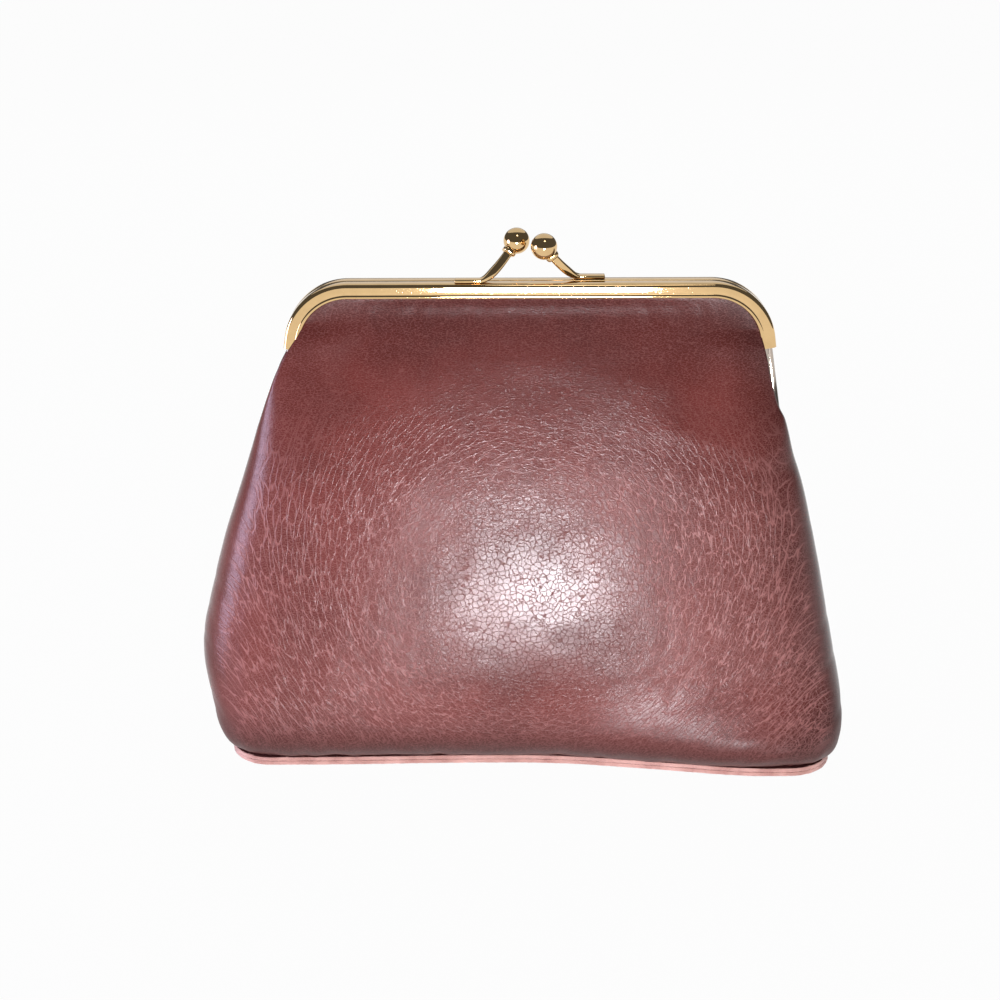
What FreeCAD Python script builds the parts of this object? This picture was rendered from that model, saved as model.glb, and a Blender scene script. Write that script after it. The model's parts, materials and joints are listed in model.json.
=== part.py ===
import FreeCAD, Part
import math
import os

V = FreeCAD.Vector

# Sheet materials
LEATHER = 1.4
LINING = 0.5
BASE_BOARD = 1.2
LAYER_GAP = 0.1

# Base panel and the outward seam edge round it
BASE_LENGTH = 197.0
BASE_DEPTH = 54.0
BASE_CORNER = 14.0
SEAM_EDGE = 4.0
BOARD_INSET = 1.6

# Soft body below the hinge
BODY_LENGTH = 211.0
BODY_DEPTH = 67.0
RIM_LENGTH = 175.0
RIM_DEPTH = 37.0
FOOT_BULGE = 13.0
FOOT_STATIONS = 7
TAPER_STATIONS = 9
LENGTH_TAPER_POWER = 1.5
DEPTH_TAPER_POWER = 1.12
FOOT_POWERS = (8.0, 3.2)
RIM_POWERS = (4.2, 2.2)
SECTION_POINTS = 40

# Frame outline, seen from the front
FRAME_TOP = 155.0
FRAME_LENGTH = 146.0
FRAME_CORNER = 20.0
LEG_FLARE_DEG = 8.6
CHANNEL_LEG = 20.2
HINGE_DROP = 56.0

# Channel section of each half
CHANNEL_HEIGHT = 4.6
CHANNEL_DEPTH = 4.4
CHANNEL_WALL = 0.7
OUTER_ROUND = 1.1
INNER_ROUND = 0.4
LIP_BEAD_RADIUS = 0.5
HALF_GAP = 0.3

# Hinge legs and rivets
BAR_THICKNESS = 1.6
BAR_GAP = 0.2
BAR_SEAT = 2.4
SEAT_FIT = 0.05
LUG_RADIUS = 3.2
RIVET_RADIUS = 1.25
RIVET_CLEARANCE = 0.05
HEAD_RADIUS = 2.6
HEAD_HEIGHT = 1.8
TAIL_RADIUS = 2.2
TAIL_HEIGHT = 0.7
RIM_GAP = 0.4

# Paper cord that wedges the sheets in the channel
PAPER_CORD_RADIUS = 0.38

# Upper leather and lining, held in the channel and bulging below it
PANEL_LAP = 2.0
LAP_CLEARANCE = 0.5
GROOVE_REACH = 2.0
LEG_CLEARANCE = 1.4
ENTRY_CLEARANCE = 3.0
WRAP_CLEARANCE = 0.3
WRAP_OUT = 2.0
WRAP_DROP = 20.0
PANEL_STATIONS = 16
PANEL_SPAN_SHARES = (0.0, 0.22, 0.44, 0.64, 0.79, 0.90, 0.97, 1.0)
LOW_REACH_SHARE = 0.89
WRAP_FROM_SHARE = 0.25
BULGE_RISE_POWER = 1.5
BULGE_POWER = 1.25
LIP_FULLNESS = 2.0
LIP_ROUNDNESS = 4.0

# Kiss lock
BALL_RADIUS = 4.0
BALL_PASS = 0.2
BALL_RISE = 11.4
BALL_LEAN = 3.9
TAB_LENGTH = 10.6
TAB_DEPTH = 3.2
TAB_THICKNESS = 1.3
TAB_ROUND = 0.45
ARM_START = 12.4
ARM_RADIUS = 1.45
ARM_TIP_RADIUS = 1.3
ARM_FOOT_SHARE = 0.86
ARM_BEND_SHARES = (0.0, 0.16, 0.34, 0.56, 0.78, 1.0)
COLLAR_FOOT_RADIUS = 1.6
COLLAR_RADIUS = 2.1
COLLAR_LENGTH = 1.3
POST_RADIUS = 0.9
POST_DEPTH = 2.6
ARM_POINTS = 16

# One overrun serves every cut that has to pass right through
CUT_OVERRUN = 5.0

FLARE = math.radians(LEG_FLARE_DEG)
CORNER_X = FRAME_LENGTH / 2 - FRAME_CORNER * (1 - math.sin(FLARE)) / math.cos(FLARE)
CORNER_Z = FRAME_TOP - FRAME_CORNER
CHANNEL_END = FRAME_TOP - CHANNEL_LEG
HINGE_Z = FRAME_TOP - HINGE_DROP
RIM_Z = HINGE_Z - LUG_RADIUS - RIM_GAP
FLANGE_TOP = 2 * LEATHER
LIP_Z = FRAME_TOP - CHANNEL_HEIGHT
FRONT_FACE = -HALF_GAP / 2 - CHANNEL_DEPTH
GROOVE_FRONT = FRONT_FACE + CHANNEL_WALL
GROOVE_REAR = -HALF_GAP / 2 - CHANNEL_WALL
BALL_X = BALL_RADIUS + BALL_PASS / 2
BALL_Z = FRAME_TOP + BALL_RISE
HALF_MIDDLE = FRONT_FACE + CHANNEL_DEPTH / 2


def save(shape, node):
    """Write one sub-part as a file of its own."""
    shape.exportStep("parts/" + node + ".step")


def across(shape):
    """The same shape on the other side of the plane between the halves."""
    return shape.mirror(V(0, 0, 0), V(0, 1, 0))


def aside(shape):
    """The same shape on the other side of the middle, left for right."""
    return shape.mirror(V(0, 0, 0), V(1, 0, 0))


def front_part(shape):
    """The part of a shape that lies in front of the side seams."""
    reach = BODY_LENGTH + CUT_OVERRUN
    block = Part.makeBox(2 * reach, reach, 2 * reach, V(-reach, -reach, -reach))
    return shape.common(block)


# Frame outline: a flat top, round corners and legs that flare outward


def leg_start(inset):
    """Where the corner arc of the outline, moved inward by the inset, meets the leg."""
    radius = FRAME_CORNER - inset
    return CORNER_X + radius * math.cos(FLARE), CORNER_Z + radius * math.sin(FLARE)


def outline_x(inset, height):
    """Half width of the outline, moved inward by the inset, at a height."""
    x, z = leg_start(inset)
    if height <= z:
        return x + (z - height) * math.tan(FLARE)
    radius = FRAME_CORNER - inset
    return CORNER_X + math.sqrt(max(radius ** 2 - (height - CORNER_Z) ** 2, 0))


def path_start(inset, end):
    """Angle of the corner arc where a path that begins at a height meets it."""
    radius = FRAME_CORNER - inset
    rise = min(max((end - CORNER_Z) / radius, -1), 1)
    return max(math.asin(rise), FLARE)


def frame_path(inset, end, y):
    """The outline as a wire from the left end to the right end, both at the same height."""
    radius = FRAME_CORNER - inset
    first = path_start(inset, end)
    right = []
    for turn in (first, (math.pi / 2 + first) / 2, math.pi / 2):
        right.append(V(CORNER_X + radius * math.cos(turn), y, CORNER_Z + radius * math.sin(turn)))
    left = [V(-p.x, p.y, p.z) for p in right]
    edges = [
        Part.Arc(left[0], left[1], left[2]).toShape(),
        Part.makeLine(left[2], right[2]),
        Part.Arc(right[2], right[1], right[0]).toShape(),
    ]
    if first == FLARE:
        foot = V(outline_x(inset, end), y, end)
        edges.insert(0, Part.makeLine(V(-foot.x, y, end), left[0]))
        edges.append(Part.makeLine(right[0], foot))
    return Part.Wire(edges)


def channel():
    """Front half of the frame: a channel open toward the inside of the outline."""
    path = frame_path(0, CHANNEL_END, 0)
    foot = V(-outline_x(0, CHANNEL_END), 0, CHANNEL_END)
    inward = V(math.cos(FLARE), 0, -math.sin(FLARE))
    rear_face = -HALF_GAP / 2
    bead_y = GROOVE_FRONT - LIP_BEAD_RADIUS
    bead_n = CHANNEL_HEIGHT - LIP_BEAD_RADIUS
    bead_back = math.sqrt(LIP_BEAD_RADIUS ** 2 - (bead_y - FRONT_FACE) ** 2)
    slant = math.sqrt(1 / 2)
    lip_n = CHANNEL_HEIGHT - CHANNEL_WALL / 2

    def at(n, y):
        return foot + inward * n + V(0, y, 0)

    def line(a, b):
        return Part.makeLine(at(*a), at(*b))

    def arc(a, b, c):
        return Part.Arc(at(*a), at(*b), at(*c)).toShape()

    def round_middle(radius):
        return radius * (1 - slant)

    face_low = (bead_n - bead_back, FRONT_FACE)
    face_high = (OUTER_ROUND, FRONT_FACE)
    top_front = (0, FRONT_FACE + OUTER_ROUND)
    top_rear = (0, rear_face - INNER_ROUND)
    back_high = (INNER_ROUND, rear_face)
    back_low = (lip_n, rear_face)
    back_inside = (lip_n, GROOVE_REAR)
    floor_rear = (CHANNEL_WALL, GROOVE_REAR)
    floor_front = (CHANNEL_WALL, GROOVE_FRONT)
    bead_inside = (bead_n, GROOVE_FRONT)
    front_turn = round_middle(OUTER_ROUND)
    rear_turn = round_middle(INNER_ROUND)
    bead_turn = LIP_BEAD_RADIUS * slant
    section = Part.Wire([
        line(face_low, face_high),
        arc(face_high, (front_turn, FRONT_FACE + front_turn), top_front),
        line(top_front, top_rear),
        arc(top_rear, (rear_turn, rear_face - rear_turn), back_high),
        line(back_high, back_low),
        arc(back_low, (CHANNEL_HEIGHT, (rear_face + GROOVE_REAR) / 2), back_inside),
        line(back_inside, floor_rear),
        line(floor_rear, floor_front),
        line(floor_front, bead_inside),
        arc(bead_inside, (bead_n + bead_turn, bead_y - bead_turn), face_low),
    ])
    return path.makePipeShell([section], True, False)


def bar_insets(outer):
    """Insets of a hinge leg's outer and inner face from the frame outline."""
    first = CHANNEL_WALL + SEAT_FIT
    if not outer:
        first += BAR_THICKNESS + BAR_GAP
    return first, first + BAR_THICKNESS


def lug_faces(outer):
    """Where the upright lug at the foot of a right hinge leg starts and ends across."""
    return [outline_x(0, HINGE_Z) - inset / math.cos(FLARE) for inset in bar_insets(outer)]


def hinge_leg(outer):
    """Right hinge leg of the front half: a bar seated in the channel, with a pierced lug."""
    insets = bar_insets(outer)
    far, near = lug_faces(outer)
    seat = CHANNEL_END + BAR_SEAT
    shoulder = HINGE_Z + LUG_RADIUS
    heights = (seat, CHANNEL_END)
    outside = [V(outline_x(insets[0], z), 0, z) for z in heights]
    inside = [V(outline_x(insets[1], z), 0, z) for z in heights]
    outside += [V(far, 0, shoulder), V(far, 0, HINGE_Z)]
    inside += [V(near, 0, shoulder), V(near, 0, HINGE_Z)]
    loop = outside + inside[::-1]
    front = GROOVE_FRONT + SEAT_FIT
    depth = GROOVE_REAR - SEAT_FIT - front
    bar = Part.Face(Part.makePolygon(loop + loop[:1])).extrude(V(0, depth, 0))
    bar.translate(V(0, front, 0))
    thickness = far - near
    lug = Part.makeCylinder(LUG_RADIUS, thickness, V(near, 0, HINGE_Z), V(1, 0, 0))
    hole = Part.makeCylinder(RIVET_RADIUS + RIVET_CLEARANCE, thickness + 2 * CUT_OVERRUN,
                             V(near - CUT_OVERRUN, 0, HINGE_Z), V(1, 0, 0))
    return bar.fuse(lug).cut(hole).removeSplitter()


def hinge_rivet():
    """Right rivet: a domed head outside the outer lug and a flat tail inside the inner lug."""
    outside = lug_faces(True)[0] + RIVET_CLEARANCE
    inside = lug_faces(False)[1] - RIVET_CLEARANCE
    shank = Part.makeCylinder(RIVET_RADIUS, outside - inside, V(inside, 0, HINGE_Z), V(1, 0, 0))
    tail = Part.makeCylinder(TAIL_RADIUS, TAIL_HEIGHT,
                             V(inside - TAIL_HEIGHT, 0, HINGE_Z), V(1, 0, 0))
    dome_radius = (HEAD_RADIUS ** 2 + HEAD_HEIGHT ** 2) / (2 * HEAD_HEIGHT)
    dome = Part.makeSphere(dome_radius, V(outside + HEAD_HEIGHT - dome_radius, 0, HINGE_Z))
    slab = Part.makeCylinder(dome_radius, HEAD_HEIGHT, V(outside, 0, HINGE_Z), V(1, 0, 0))
    return shank.fuse([tail, dome.common(slab)]).removeSplitter()


def sheet_faces():
    """Where the leather, the lining and the cord start, from front to rear in the groove."""
    leather = GROOVE_FRONT + LAYER_GAP
    lining = leather + LEATHER + LAYER_GAP
    cord = lining + LINING + LAYER_GAP
    return leather, lining, cord


def paper_cord():
    """Round paper cord along the groove of the front half, behind the lining."""
    inset = CHANNEL_WALL + LAYER_GAP + PAPER_CORD_RADIUS
    end = CHANNEL_END + BAR_SEAT + LAYER_GAP
    path = frame_path(inset, end, sheet_faces()[2] + PAPER_CORD_RADIUS)
    start = path.OrderedVertexes[0].Point
    lean = path_start(inset, end)
    upward = V(math.sin(lean), 0, math.cos(lean))
    ring = Part.Wire([Part.makeCircle(PAPER_CORD_RADIUS, start, upward)])
    return path.makePipeShell([ring], True, False)


# Upper leather and lining of the front half


def between(low, high, share):
    """A value part of the way from low to high, which stops at both ends."""
    return low + (high - low) * min(max(share, 0), 1)


def side_edge(z, face):
    """Half width and front face of an upper sheet's side edge at a height.

    It sits in the groove at the corners, passes inside the channel's foot, and below that it
    wraps round the front of the hinge leg.
    """
    lining = sheet_faces()[1]
    leg_top = CHANNEL_END + BAR_SEAT + ENTRY_CLEARANCE
    if z >= leg_top:
        return outline_x(CHANNEL_HEIGHT - GROOVE_REACH, z), face
    bar_front = GROOVE_FRONT + SEAT_FIT
    forward = lining + LINING - bar_front + WRAP_CLEARANCE
    below = CHANNEL_END - LEG_CLEARANCE - z
    inset = between(bar_insets(False)[1] + LEG_CLEARANCE, -WRAP_OUT, below / WRAP_DROP)
    shift = between(0, forward, (leg_top - z) / (leg_top - CHANNEL_END))
    return outline_x(inset, z), face - shift


def upper_sheet(face, thickness):
    """A sheet held in the groove that bulges forward below the lip.

    The face is where its front starts in the groove. At the bottom the sheet lies just inside
    the rim of the lower body and has the same curve.
    """
    low = RIM_Z - PANEL_LAP
    top = LIP_Z + GROOVE_REACH
    lap = LEATHER + LAYER_GAP + LINING + LAP_CLEARANCE
    behind = face - sheet_faces()[0]
    low_half = RIM_LENGTH / 2 - lap
    low_middle = lap - RIM_DEPTH / 2 + behind
    spans = [-share for share in PANEL_SPAN_SHARES[:0:-1]] + list(PANEL_SPAN_SHARES)
    wires = []
    for i in range(PANEL_STATIONS + 1):
        z = low + (top - low) * math.sin(math.pi / 2 * i / PANEL_STATIONS)
        rise = min((z - low) / (LIP_Z - low), 1)
        wrap = rise / WRAP_FROM_SHARE
        half, edge = side_edge(z, face)
        half = between(low_half, half, wrap)
        edge = between(behind, edge, wrap)
        middle = face + (low_middle - face) * (1 - rise ** BULGE_RISE_POWER) ** BULGE_POWER
        roundness = between(RIM_POWERS[0], LIP_ROUNDNESS, rise)
        fullness = between(1 / RIM_POWERS[1], LIP_FULLNESS, rise)
        reach = between(LOW_REACH_SHARE, 1, wrap)
        front = []
        for share in spans:
            out = share * reach
            bulge = (1 - abs(out) ** roundness) ** fullness
            front.append(V(half * out, edge + (min(middle, edge) - edge) * bulge, z))
        back = [p + V(0, thickness, 0) for p in front[::-1]]
        curves = []
        for points in (front, back):
            curve = Part.BSplineCurve()
            curve.interpolate(points)
            curves.append(curve.toShape())
        wires.append(Part.Wire([
            curves[0],
            Part.makeLine(front[-1], back[0]),
            curves[1],
            Part.makeLine(back[-1], front[0]),
        ]))
    return Part.makeLoft(wires, True, True)


# Soft body below the hinge


def oval(half_length, half_depth, powers, z):
    """A closed level curve between an ellipse and a rectangle.

    The higher the two powers, the flatter the long and the short sides.
    """
    points = []
    for i in range(SECTION_POINTS):
        turn = 2 * math.pi * i / SECTION_POINTS
        c, s = math.cos(turn), math.sin(turn)
        x = math.copysign(abs(c) ** (2 / powers[0]), c) * half_length
        y = math.copysign(abs(s) ** (2 / powers[1]), s) * half_depth
        points.append(V(x, y, z))
    curve = Part.BSplineCurve()
    curve.interpolate(points, PeriodicFlag=True)
    return Part.Wire([curve.toShape()])


def mix(first, second, share):
    """Each value of one pair part of the way to that of another pair."""
    return [between(a, b, share) for a, b in zip(first, second)]


def body_stations(inset):
    """Height, half length, half depth and powers of the body, from the seam upward.

    The foot swells out from the seam like a quarter ellipse, and the sides taper to the rim.
    The inset moves each station inward, square to the wall.
    """
    seam = (BASE_LENGTH / 2 - SEAM_EDGE, BASE_DEPTH / 2 - SEAM_EDGE)
    full = (BODY_LENGTH / 2, BODY_DEPTH / 2)
    rim = (RIM_LENGTH / 2, RIM_DEPTH / 2)
    seam_powers = [2 * half / (BASE_CORNER - SEAM_EDGE) for half in seam]
    widest = FLANGE_TOP + FOOT_BULGE
    swell = full[1] - seam[1]
    stations = [(FLANGE_TOP + inset, seam[0] - inset, seam[1] - inset, seam_powers)]
    for i in range(1, FOOT_STATIONS):
        turn = math.pi / 2 * i / FOOT_STATIONS
        out = math.atan2(FOOT_BULGE * math.sin(turn), swell * math.cos(turn))
        length, depth = mix(seam, full, math.sin(turn))
        inward = inset * math.sin(out)
        z = widest - FOOT_BULGE * math.cos(turn) + inset * math.cos(out)
        powers = mix(seam_powers, FOOT_POWERS, i / FOOT_STATIONS)
        stations.append((z, length - inward, depth - inward, powers))
    for i in range(TAPER_STATIONS + 1):
        rise = i / TAPER_STATIONS
        length = between(full[0], rim[0], rise ** LENGTH_TAPER_POWER)
        depth = between(full[1], rim[1], rise ** DEPTH_TAPER_POWER)
        powers = mix(FOOT_POWERS, RIM_POWERS, rise)
        stations.append((between(widest, RIM_Z, rise), length - inset, depth - inset, powers))
    return stations


def body_solid(inset, floor, overrun):
    """The body as a full solid, moved inward by the inset, from a floor to past the rim."""
    stations = body_stations(inset)
    rows = [(floor - overrun,) + stations[0][1:]] + stations
    if overrun:
        rows.append((stations[-1][0] + overrun,) + stations[-1][1:])
    return Part.makeLoft([oval(a, b, powers, z) for z, a, b, powers in rows], True, True)


def base_plate(inset, floor, thickness):
    """A level plate with round corners, smaller than the base by the inset."""
    x = BASE_LENGTH / 2 - inset
    y = BASE_DEPTH / 2 - inset
    radius = BASE_CORNER - inset
    plate = Part.makeBox(2 * x, 2 * y, thickness, V(-x, -y, floor))
    upright = [e for e in plate.Edges if e.Vertexes[0].Point.z != e.Vertexes[1].Point.z]
    return plate.makeFillet(radius, upright)


def lower_panel():
    """Front leather below the hinge, turned outward on the base as a seam edge."""
    full = body_solid(0, FLANGE_TOP - LEATHER / 2, 0).fuse(base_plate(0, LEATHER, LEATHER))
    return front_part(full.cut(body_solid(LEATHER, LEATHER, CUT_OVERRUN))).removeSplitter()


def lower_lining():
    """Front lining below the hinge, just inside the leather."""
    outside = LEATHER + LAYER_GAP
    floor = FLANGE_TOP + LINING + 2 * LAYER_GAP
    skin = body_solid(outside, floor, 0)
    return front_part(skin.cut(body_solid(outside + LINING, floor, CUT_OVERRUN)))


def base_panel():
    """Leather base panel with its raw edge all round."""
    return base_plate(0, 0, LEATHER)


def base_board():
    """Stiff board on the base panel, inside the seam."""
    return base_plate(SEAM_EDGE + LEATHER + BOARD_INSET, LEATHER, BASE_BOARD)


def base_lining():
    """Lining that covers the board."""
    return base_plate(SEAM_EDGE + LEATHER + BOARD_INSET, LEATHER + BASE_BOARD + LAYER_GAP, LINING)


# Kiss lock of the front half


def ball_centre():
    """Centre of the front half's ball, which leans over the rear half."""
    return V(-BALL_X, BALL_LEAN, BALL_Z)


def arm_end():
    """Unit direction of the arm into the ball, and the foot of the arm on the tab."""
    foot = V(-ARM_START, HALF_MIDDLE, FRAME_TOP + TAB_THICKNESS / 2)
    rise = ball_centre() - foot
    return rise.normalize(), foot


def clasp_ball():
    """Ball with a blind hole for the post of the arm."""
    rise, _ = arm_end()
    centre = ball_centre()
    bottom = centre - rise * BALL_RADIUS
    hole = Part.makeCylinder(POST_RADIUS, POST_DEPTH, bottom, rise)
    under = Part.makeCylinder(POST_RADIUS, CUT_OVERRUN, bottom - rise * CUT_OVERRUN, rise)
    return Part.makeSphere(BALL_RADIUS, centre).cut(hole.fuse(under))


def arm_radius(foot, share):
    """Radius of the arm on its way from the foot, through the bend, to the tip."""
    bend = between(ARM_RADIUS, foot, (1 - share) ** 2)
    return between(bend, ARM_TIP_RADIUS, share ** 2)


def clasp_arm():
    """Flat tab on the channel and an arm that bends up from its inner end to the ball."""
    rise, foot = arm_end()
    centre = ball_centre()
    tab_end = -ARM_START - TAB_LENGTH
    tab = Part.makeBox(TAB_LENGTH + TAB_DEPTH / 2, TAB_DEPTH, TAB_THICKNESS,
                       V(tab_end, HALF_MIDDLE - TAB_DEPTH / 2, FRAME_TOP))
    upper = [e for e in tab.Edges if min(v.Point.z for v in e.Vertexes) > FRAME_TOP]
    tab = tab.makeFillet(TAB_ROUND, upper)
    collar_low = centre - rise * (BALL_RADIUS + COLLAR_LENGTH)
    tip = collar_low + rise * (COLLAR_LENGTH / 2)
    along = V(1, 0, 0)
    start = foot - along * TAB_DEPTH
    wires = []
    for share in ARM_BEND_SHARES:
        first = start * (1 - share) + foot * share
        second = foot * (1 - share) + tip * share
        middle = first * (1 - share) + second * share
        forward = (along * (1 - share) + rise * share).normalize()
        side = V(0, 1, 0) - forward * forward.y
        side.normalize()
        over = forward.cross(side)
        wide = arm_radius(TAB_DEPTH / 2 * ARM_FOOT_SHARE, share)
        thick = arm_radius(TAB_THICKNESS / 2 * ARM_FOOT_SHARE, share)
        points = []
        for i in range(ARM_POINTS):
            turn = 2 * math.pi * i / ARM_POINTS
            points.append(middle + side * (wide * math.cos(turn)) + over * (thick * math.sin(turn)))
        curve = Part.BSplineCurve()
        curve.interpolate(points, PeriodicFlag=True)
        wires.append(Part.Wire([curve.toShape()]))
    arm = Part.makeLoft(wires, True, False)
    collar = Part.makeCone(COLLAR_FOOT_RADIUS, COLLAR_RADIUS, COLLAR_LENGTH, collar_low, rise)
    cup = Part.makeCylinder(COLLAR_RADIUS, BALL_RADIUS / 2, collar_low + rise * COLLAR_LENGTH, rise)
    post = Part.makeCylinder(POST_RADIUS, COLLAR_LENGTH / 2 + POST_DEPTH, tip, rise)
    ball = Part.makeSphere(BALL_RADIUS, centre)
    stem = collar.fuse(cup).removeSplitter().cut(ball)
    return tab.fuse(arm).fuse(stem).fuse(post)


os.makedirs("parts", exist_ok=True)

save(base_panel(), "base_panel")
save(base_board(), "base_board")
save(base_lining(), "base_lining")

leather, lining, _ = sheet_faces()
halves = {
    "panel_lower": lower_panel(),
    "lining_lower": lower_lining(),
    "frame": channel(),
    "paper_cord": paper_cord(),
    "panel_upper": upper_sheet(leather, LEATHER),
    "lining_upper": upper_sheet(lining, LINING),
}
for name, shape in halves.items():
    save(shape, "front_" + name)
    save(across(shape), "rear_" + name)

for half, outer in (("front", False), ("rear", True)):
    leg = hinge_leg(outer)
    if half == "rear":
        leg = across(leg)
    save(leg, half + "_hinge_leg_right")
    save(aside(leg), half + "_hinge_leg_left")

rivet = hinge_rivet()
save(rivet, "hinge_rivet_right")
save(aside(rivet), "hinge_rivet_left")

for name, shape in (("clasp_arm", clasp_arm()), ("clasp_ball", clasp_ball())):
    save(shape, "front_" + name)
    save(aside(across(shape)), "rear_" + name)
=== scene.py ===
import json
import math

import bmesh
import bpy
from mathutils import Matrix, Vector, noise


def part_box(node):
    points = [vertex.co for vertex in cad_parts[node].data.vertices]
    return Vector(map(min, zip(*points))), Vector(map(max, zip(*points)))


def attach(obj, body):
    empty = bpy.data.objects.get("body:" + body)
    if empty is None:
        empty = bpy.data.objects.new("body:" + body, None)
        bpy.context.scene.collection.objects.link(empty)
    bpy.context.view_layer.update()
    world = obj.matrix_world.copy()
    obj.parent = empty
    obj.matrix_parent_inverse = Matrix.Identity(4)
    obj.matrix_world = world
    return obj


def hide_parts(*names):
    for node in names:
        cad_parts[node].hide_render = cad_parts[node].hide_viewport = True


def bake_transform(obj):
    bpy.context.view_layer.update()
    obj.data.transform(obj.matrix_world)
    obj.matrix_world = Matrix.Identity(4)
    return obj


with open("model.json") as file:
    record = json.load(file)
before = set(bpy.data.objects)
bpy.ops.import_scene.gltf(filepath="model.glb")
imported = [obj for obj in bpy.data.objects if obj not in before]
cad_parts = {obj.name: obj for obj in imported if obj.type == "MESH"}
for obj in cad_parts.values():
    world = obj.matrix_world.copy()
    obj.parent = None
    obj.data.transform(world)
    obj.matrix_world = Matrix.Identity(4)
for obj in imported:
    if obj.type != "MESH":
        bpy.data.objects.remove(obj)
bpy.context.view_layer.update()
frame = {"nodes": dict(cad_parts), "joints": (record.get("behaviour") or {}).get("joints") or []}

bl_info = {
    "name": "Kiss lock frame purse",
    "version": (1, 0, 0),
    "blender": (4, 5, 0),
    "location": "3D View > Sidebar > Purse",
    "description": "Soft leather purse on a flat base, with a hinged metal frame and a kiss lock",
    "category": "Object",
}

# Lengths are in millimetres until a piece is finished, which brings it to metres
MM = 0.001
TURN = 2 * math.pi


def node_box(node):
    """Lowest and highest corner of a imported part, in millimetres."""
    return [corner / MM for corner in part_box(node)]


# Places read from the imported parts
HINGE_Z = frame["joints"][0]["pos_m"][2] / MM
FRAME_TOP = node_box("front_frame")[1].z
LUG_RADIUS = HINGE_Z - node_box("front_hinge_leg_right")[0].z
BALL_LOW, BALL_HIGH = node_box("front_clasp_ball")
BALL_CENTRE = (BALL_LOW + BALL_HIGH) / 2
BALL_RADIUS = (BALL_HIGH.x - BALL_LOW.x) / 2
BASE_HIGH = node_box("base_panel")[1]
RIVET_LOW, RIVET_HIGH = node_box("hinge_rivet_right")
TAB_END = node_box("front_clasp_arm")[0].x

# Frame outline and channel
FRAME_LENGTH = 146.0
FRAME_CORNER = 20.0
LEG_FLARE = math.radians(8.6)
CHANNEL_END = FRAME_TOP - 20.2
CHANNEL_HEIGHT = 4.6
CHANNEL_WALL = 0.7
CHANNEL_FRONT = -4.55
CHANNEL_REAR = -0.15
GROOVE_FRONT = CHANNEL_FRONT + CHANNEL_WALL
GROOVE_REAR = CHANNEL_REAR - CHANNEL_WALL
OUTER_ROUND = 1.2
INNER_ROUND = 0.4
BEAD_REACH = 0.2
BEAD_ROUND = 0.46
BEAD_HEIGHT = 1.0
BEAD_DEPTH = BEAD_REACH - CHANNEL_FRONT
CORNER_STEPS = 28
TOP_STEPS = 12
ROUND_SEGMENTS = 6
CORNER_X = FRAME_LENGTH / 2 - FRAME_CORNER * (1 - math.sin(LEG_FLARE)) / math.cos(LEG_FLARE)
CORNER_Z = FRAME_TOP - FRAME_CORNER
LIP_Z = FRAME_TOP - CHANNEL_HEIGHT

# Hinge legs and rivets
BAR_THICKNESS = 1.6
BAR_OUTER_INSET = 0.75
BAR_INNER_INSET = 2.55
BAR_SEAT = 2.4
BAR_CLEARANCE = 0.05
LUG_SEGMENTS = 48
LUG_BEVEL = 0.22
LUG_TOP_FROM = 38
LUG_TOP_TO = 178
SHARP_RIM = 1.0
RIVET_HOLE = 1.3
RIVET_RADIUS = 1.25
RIVET_HEAD_RADIUS = 2.6
RIVET_TAIL_RADIUS = 2.2
RIVET_TAIL_HEIGHT = 0.7
RIVET_HEAD_HEIGHT = 1.8
DOME_STEPS = 10
RIVET_SEGMENTS = 32

# Kiss lock
TAB_HALF_DEPTH = 1.6
TAB_THICKNESS = 1.3
ARM_START = 12.4
ARM_RADIUS = 1.45
ARM_TIP_RADIUS = 1.3
COLLAR_FOOT_RADIUS = 1.6
COLLAR_RADIUS = 2.1
COLLAR_LENGTH = 1.3
ARM_STEPS = 18
ARM_ROUND = 0.62
ARM_ROUND_SEGMENTS = 5
BALL_STEPS = 36
BALL_SEGMENTS = 56
HALF_MIDDLE = (CHANNEL_FRONT + CHANNEL_REAR) / 2

# Leather panels: half widths and depths at heights above the base
LEFT_SIDE = ((15.8, 104.2), (24.0, 105.6), (33.0, 106.6), (42.0, 105.9), (58.0, 101.6), (74.0, 96.8),
             (90.0, 91.4), (100.0, 88.2), (110.0, 84.9), (120.0, 81.3), (127.0, 78.6), (131.0, 76.6),
             (134.0, 74.9), (137.0, 72.7), (140.0, 70.7), (142.0, 69.6))
RIGHT_SIDE = ((15.8, 102.6), (24.0, 101.6), (36.0, 98.9), (52.0, 95.2), (70.0, 91.2), (85.0, 87.7),
              (94.0, 85.0), (99.0, 83.2), (103.0, 82.1), (107.0, 81.1), (112.0, 79.6), (115.5, 77.8),
              (120.0, 76.2), (125.0, 74.7), (130.0, 73.5), (134.0, 72.4), (137.0, 71.5), (139.5, 70.7))
MIDDLE_DEPTH = ((15.8, 33.5), (24.0, 32.5), (34.0, 30.6), (46.0, 27.9), (58.0, 25.4), (70.0, 23.1),
                (82.0, 21.0), (92.0, 19.2), (100.0, 17.5), (110.0, 15.0), (125.0, 11.0), (138.0, 7.2),
                (145.0, 5.2), (148.5, 4.5), (150.4, 4.0), (152.4, 3.75))
EDGE_DEPTH = ((94.0, 2.3), (104.0, 3.1), (114.0, 3.8), (125.0, 4.1), (138.0, 4.0), (150.4, 3.75))
LEFT_HEM = ((96.0, 0.0), (108.0, 0.8), (120.0, 1.5), (132.0, 1.8), (137.0, 1.7), (140.0, 1.0),
            (142.5, 0.0))
RIGHT_HEM = ((96.0, 0.0), (102.0, 1.0), (108.0, 1.5), (120.0, 1.6), (132.0, 1.6), (136.0, 1.4),
             (139.5, 0.0))
HEM_REACH = 24.0
SIDE_POWER = ((15.8, 8.0), (60.0, 5.6), (95.0, 4.6), (120.0, 4.0), (150.0, 4.0))
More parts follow.
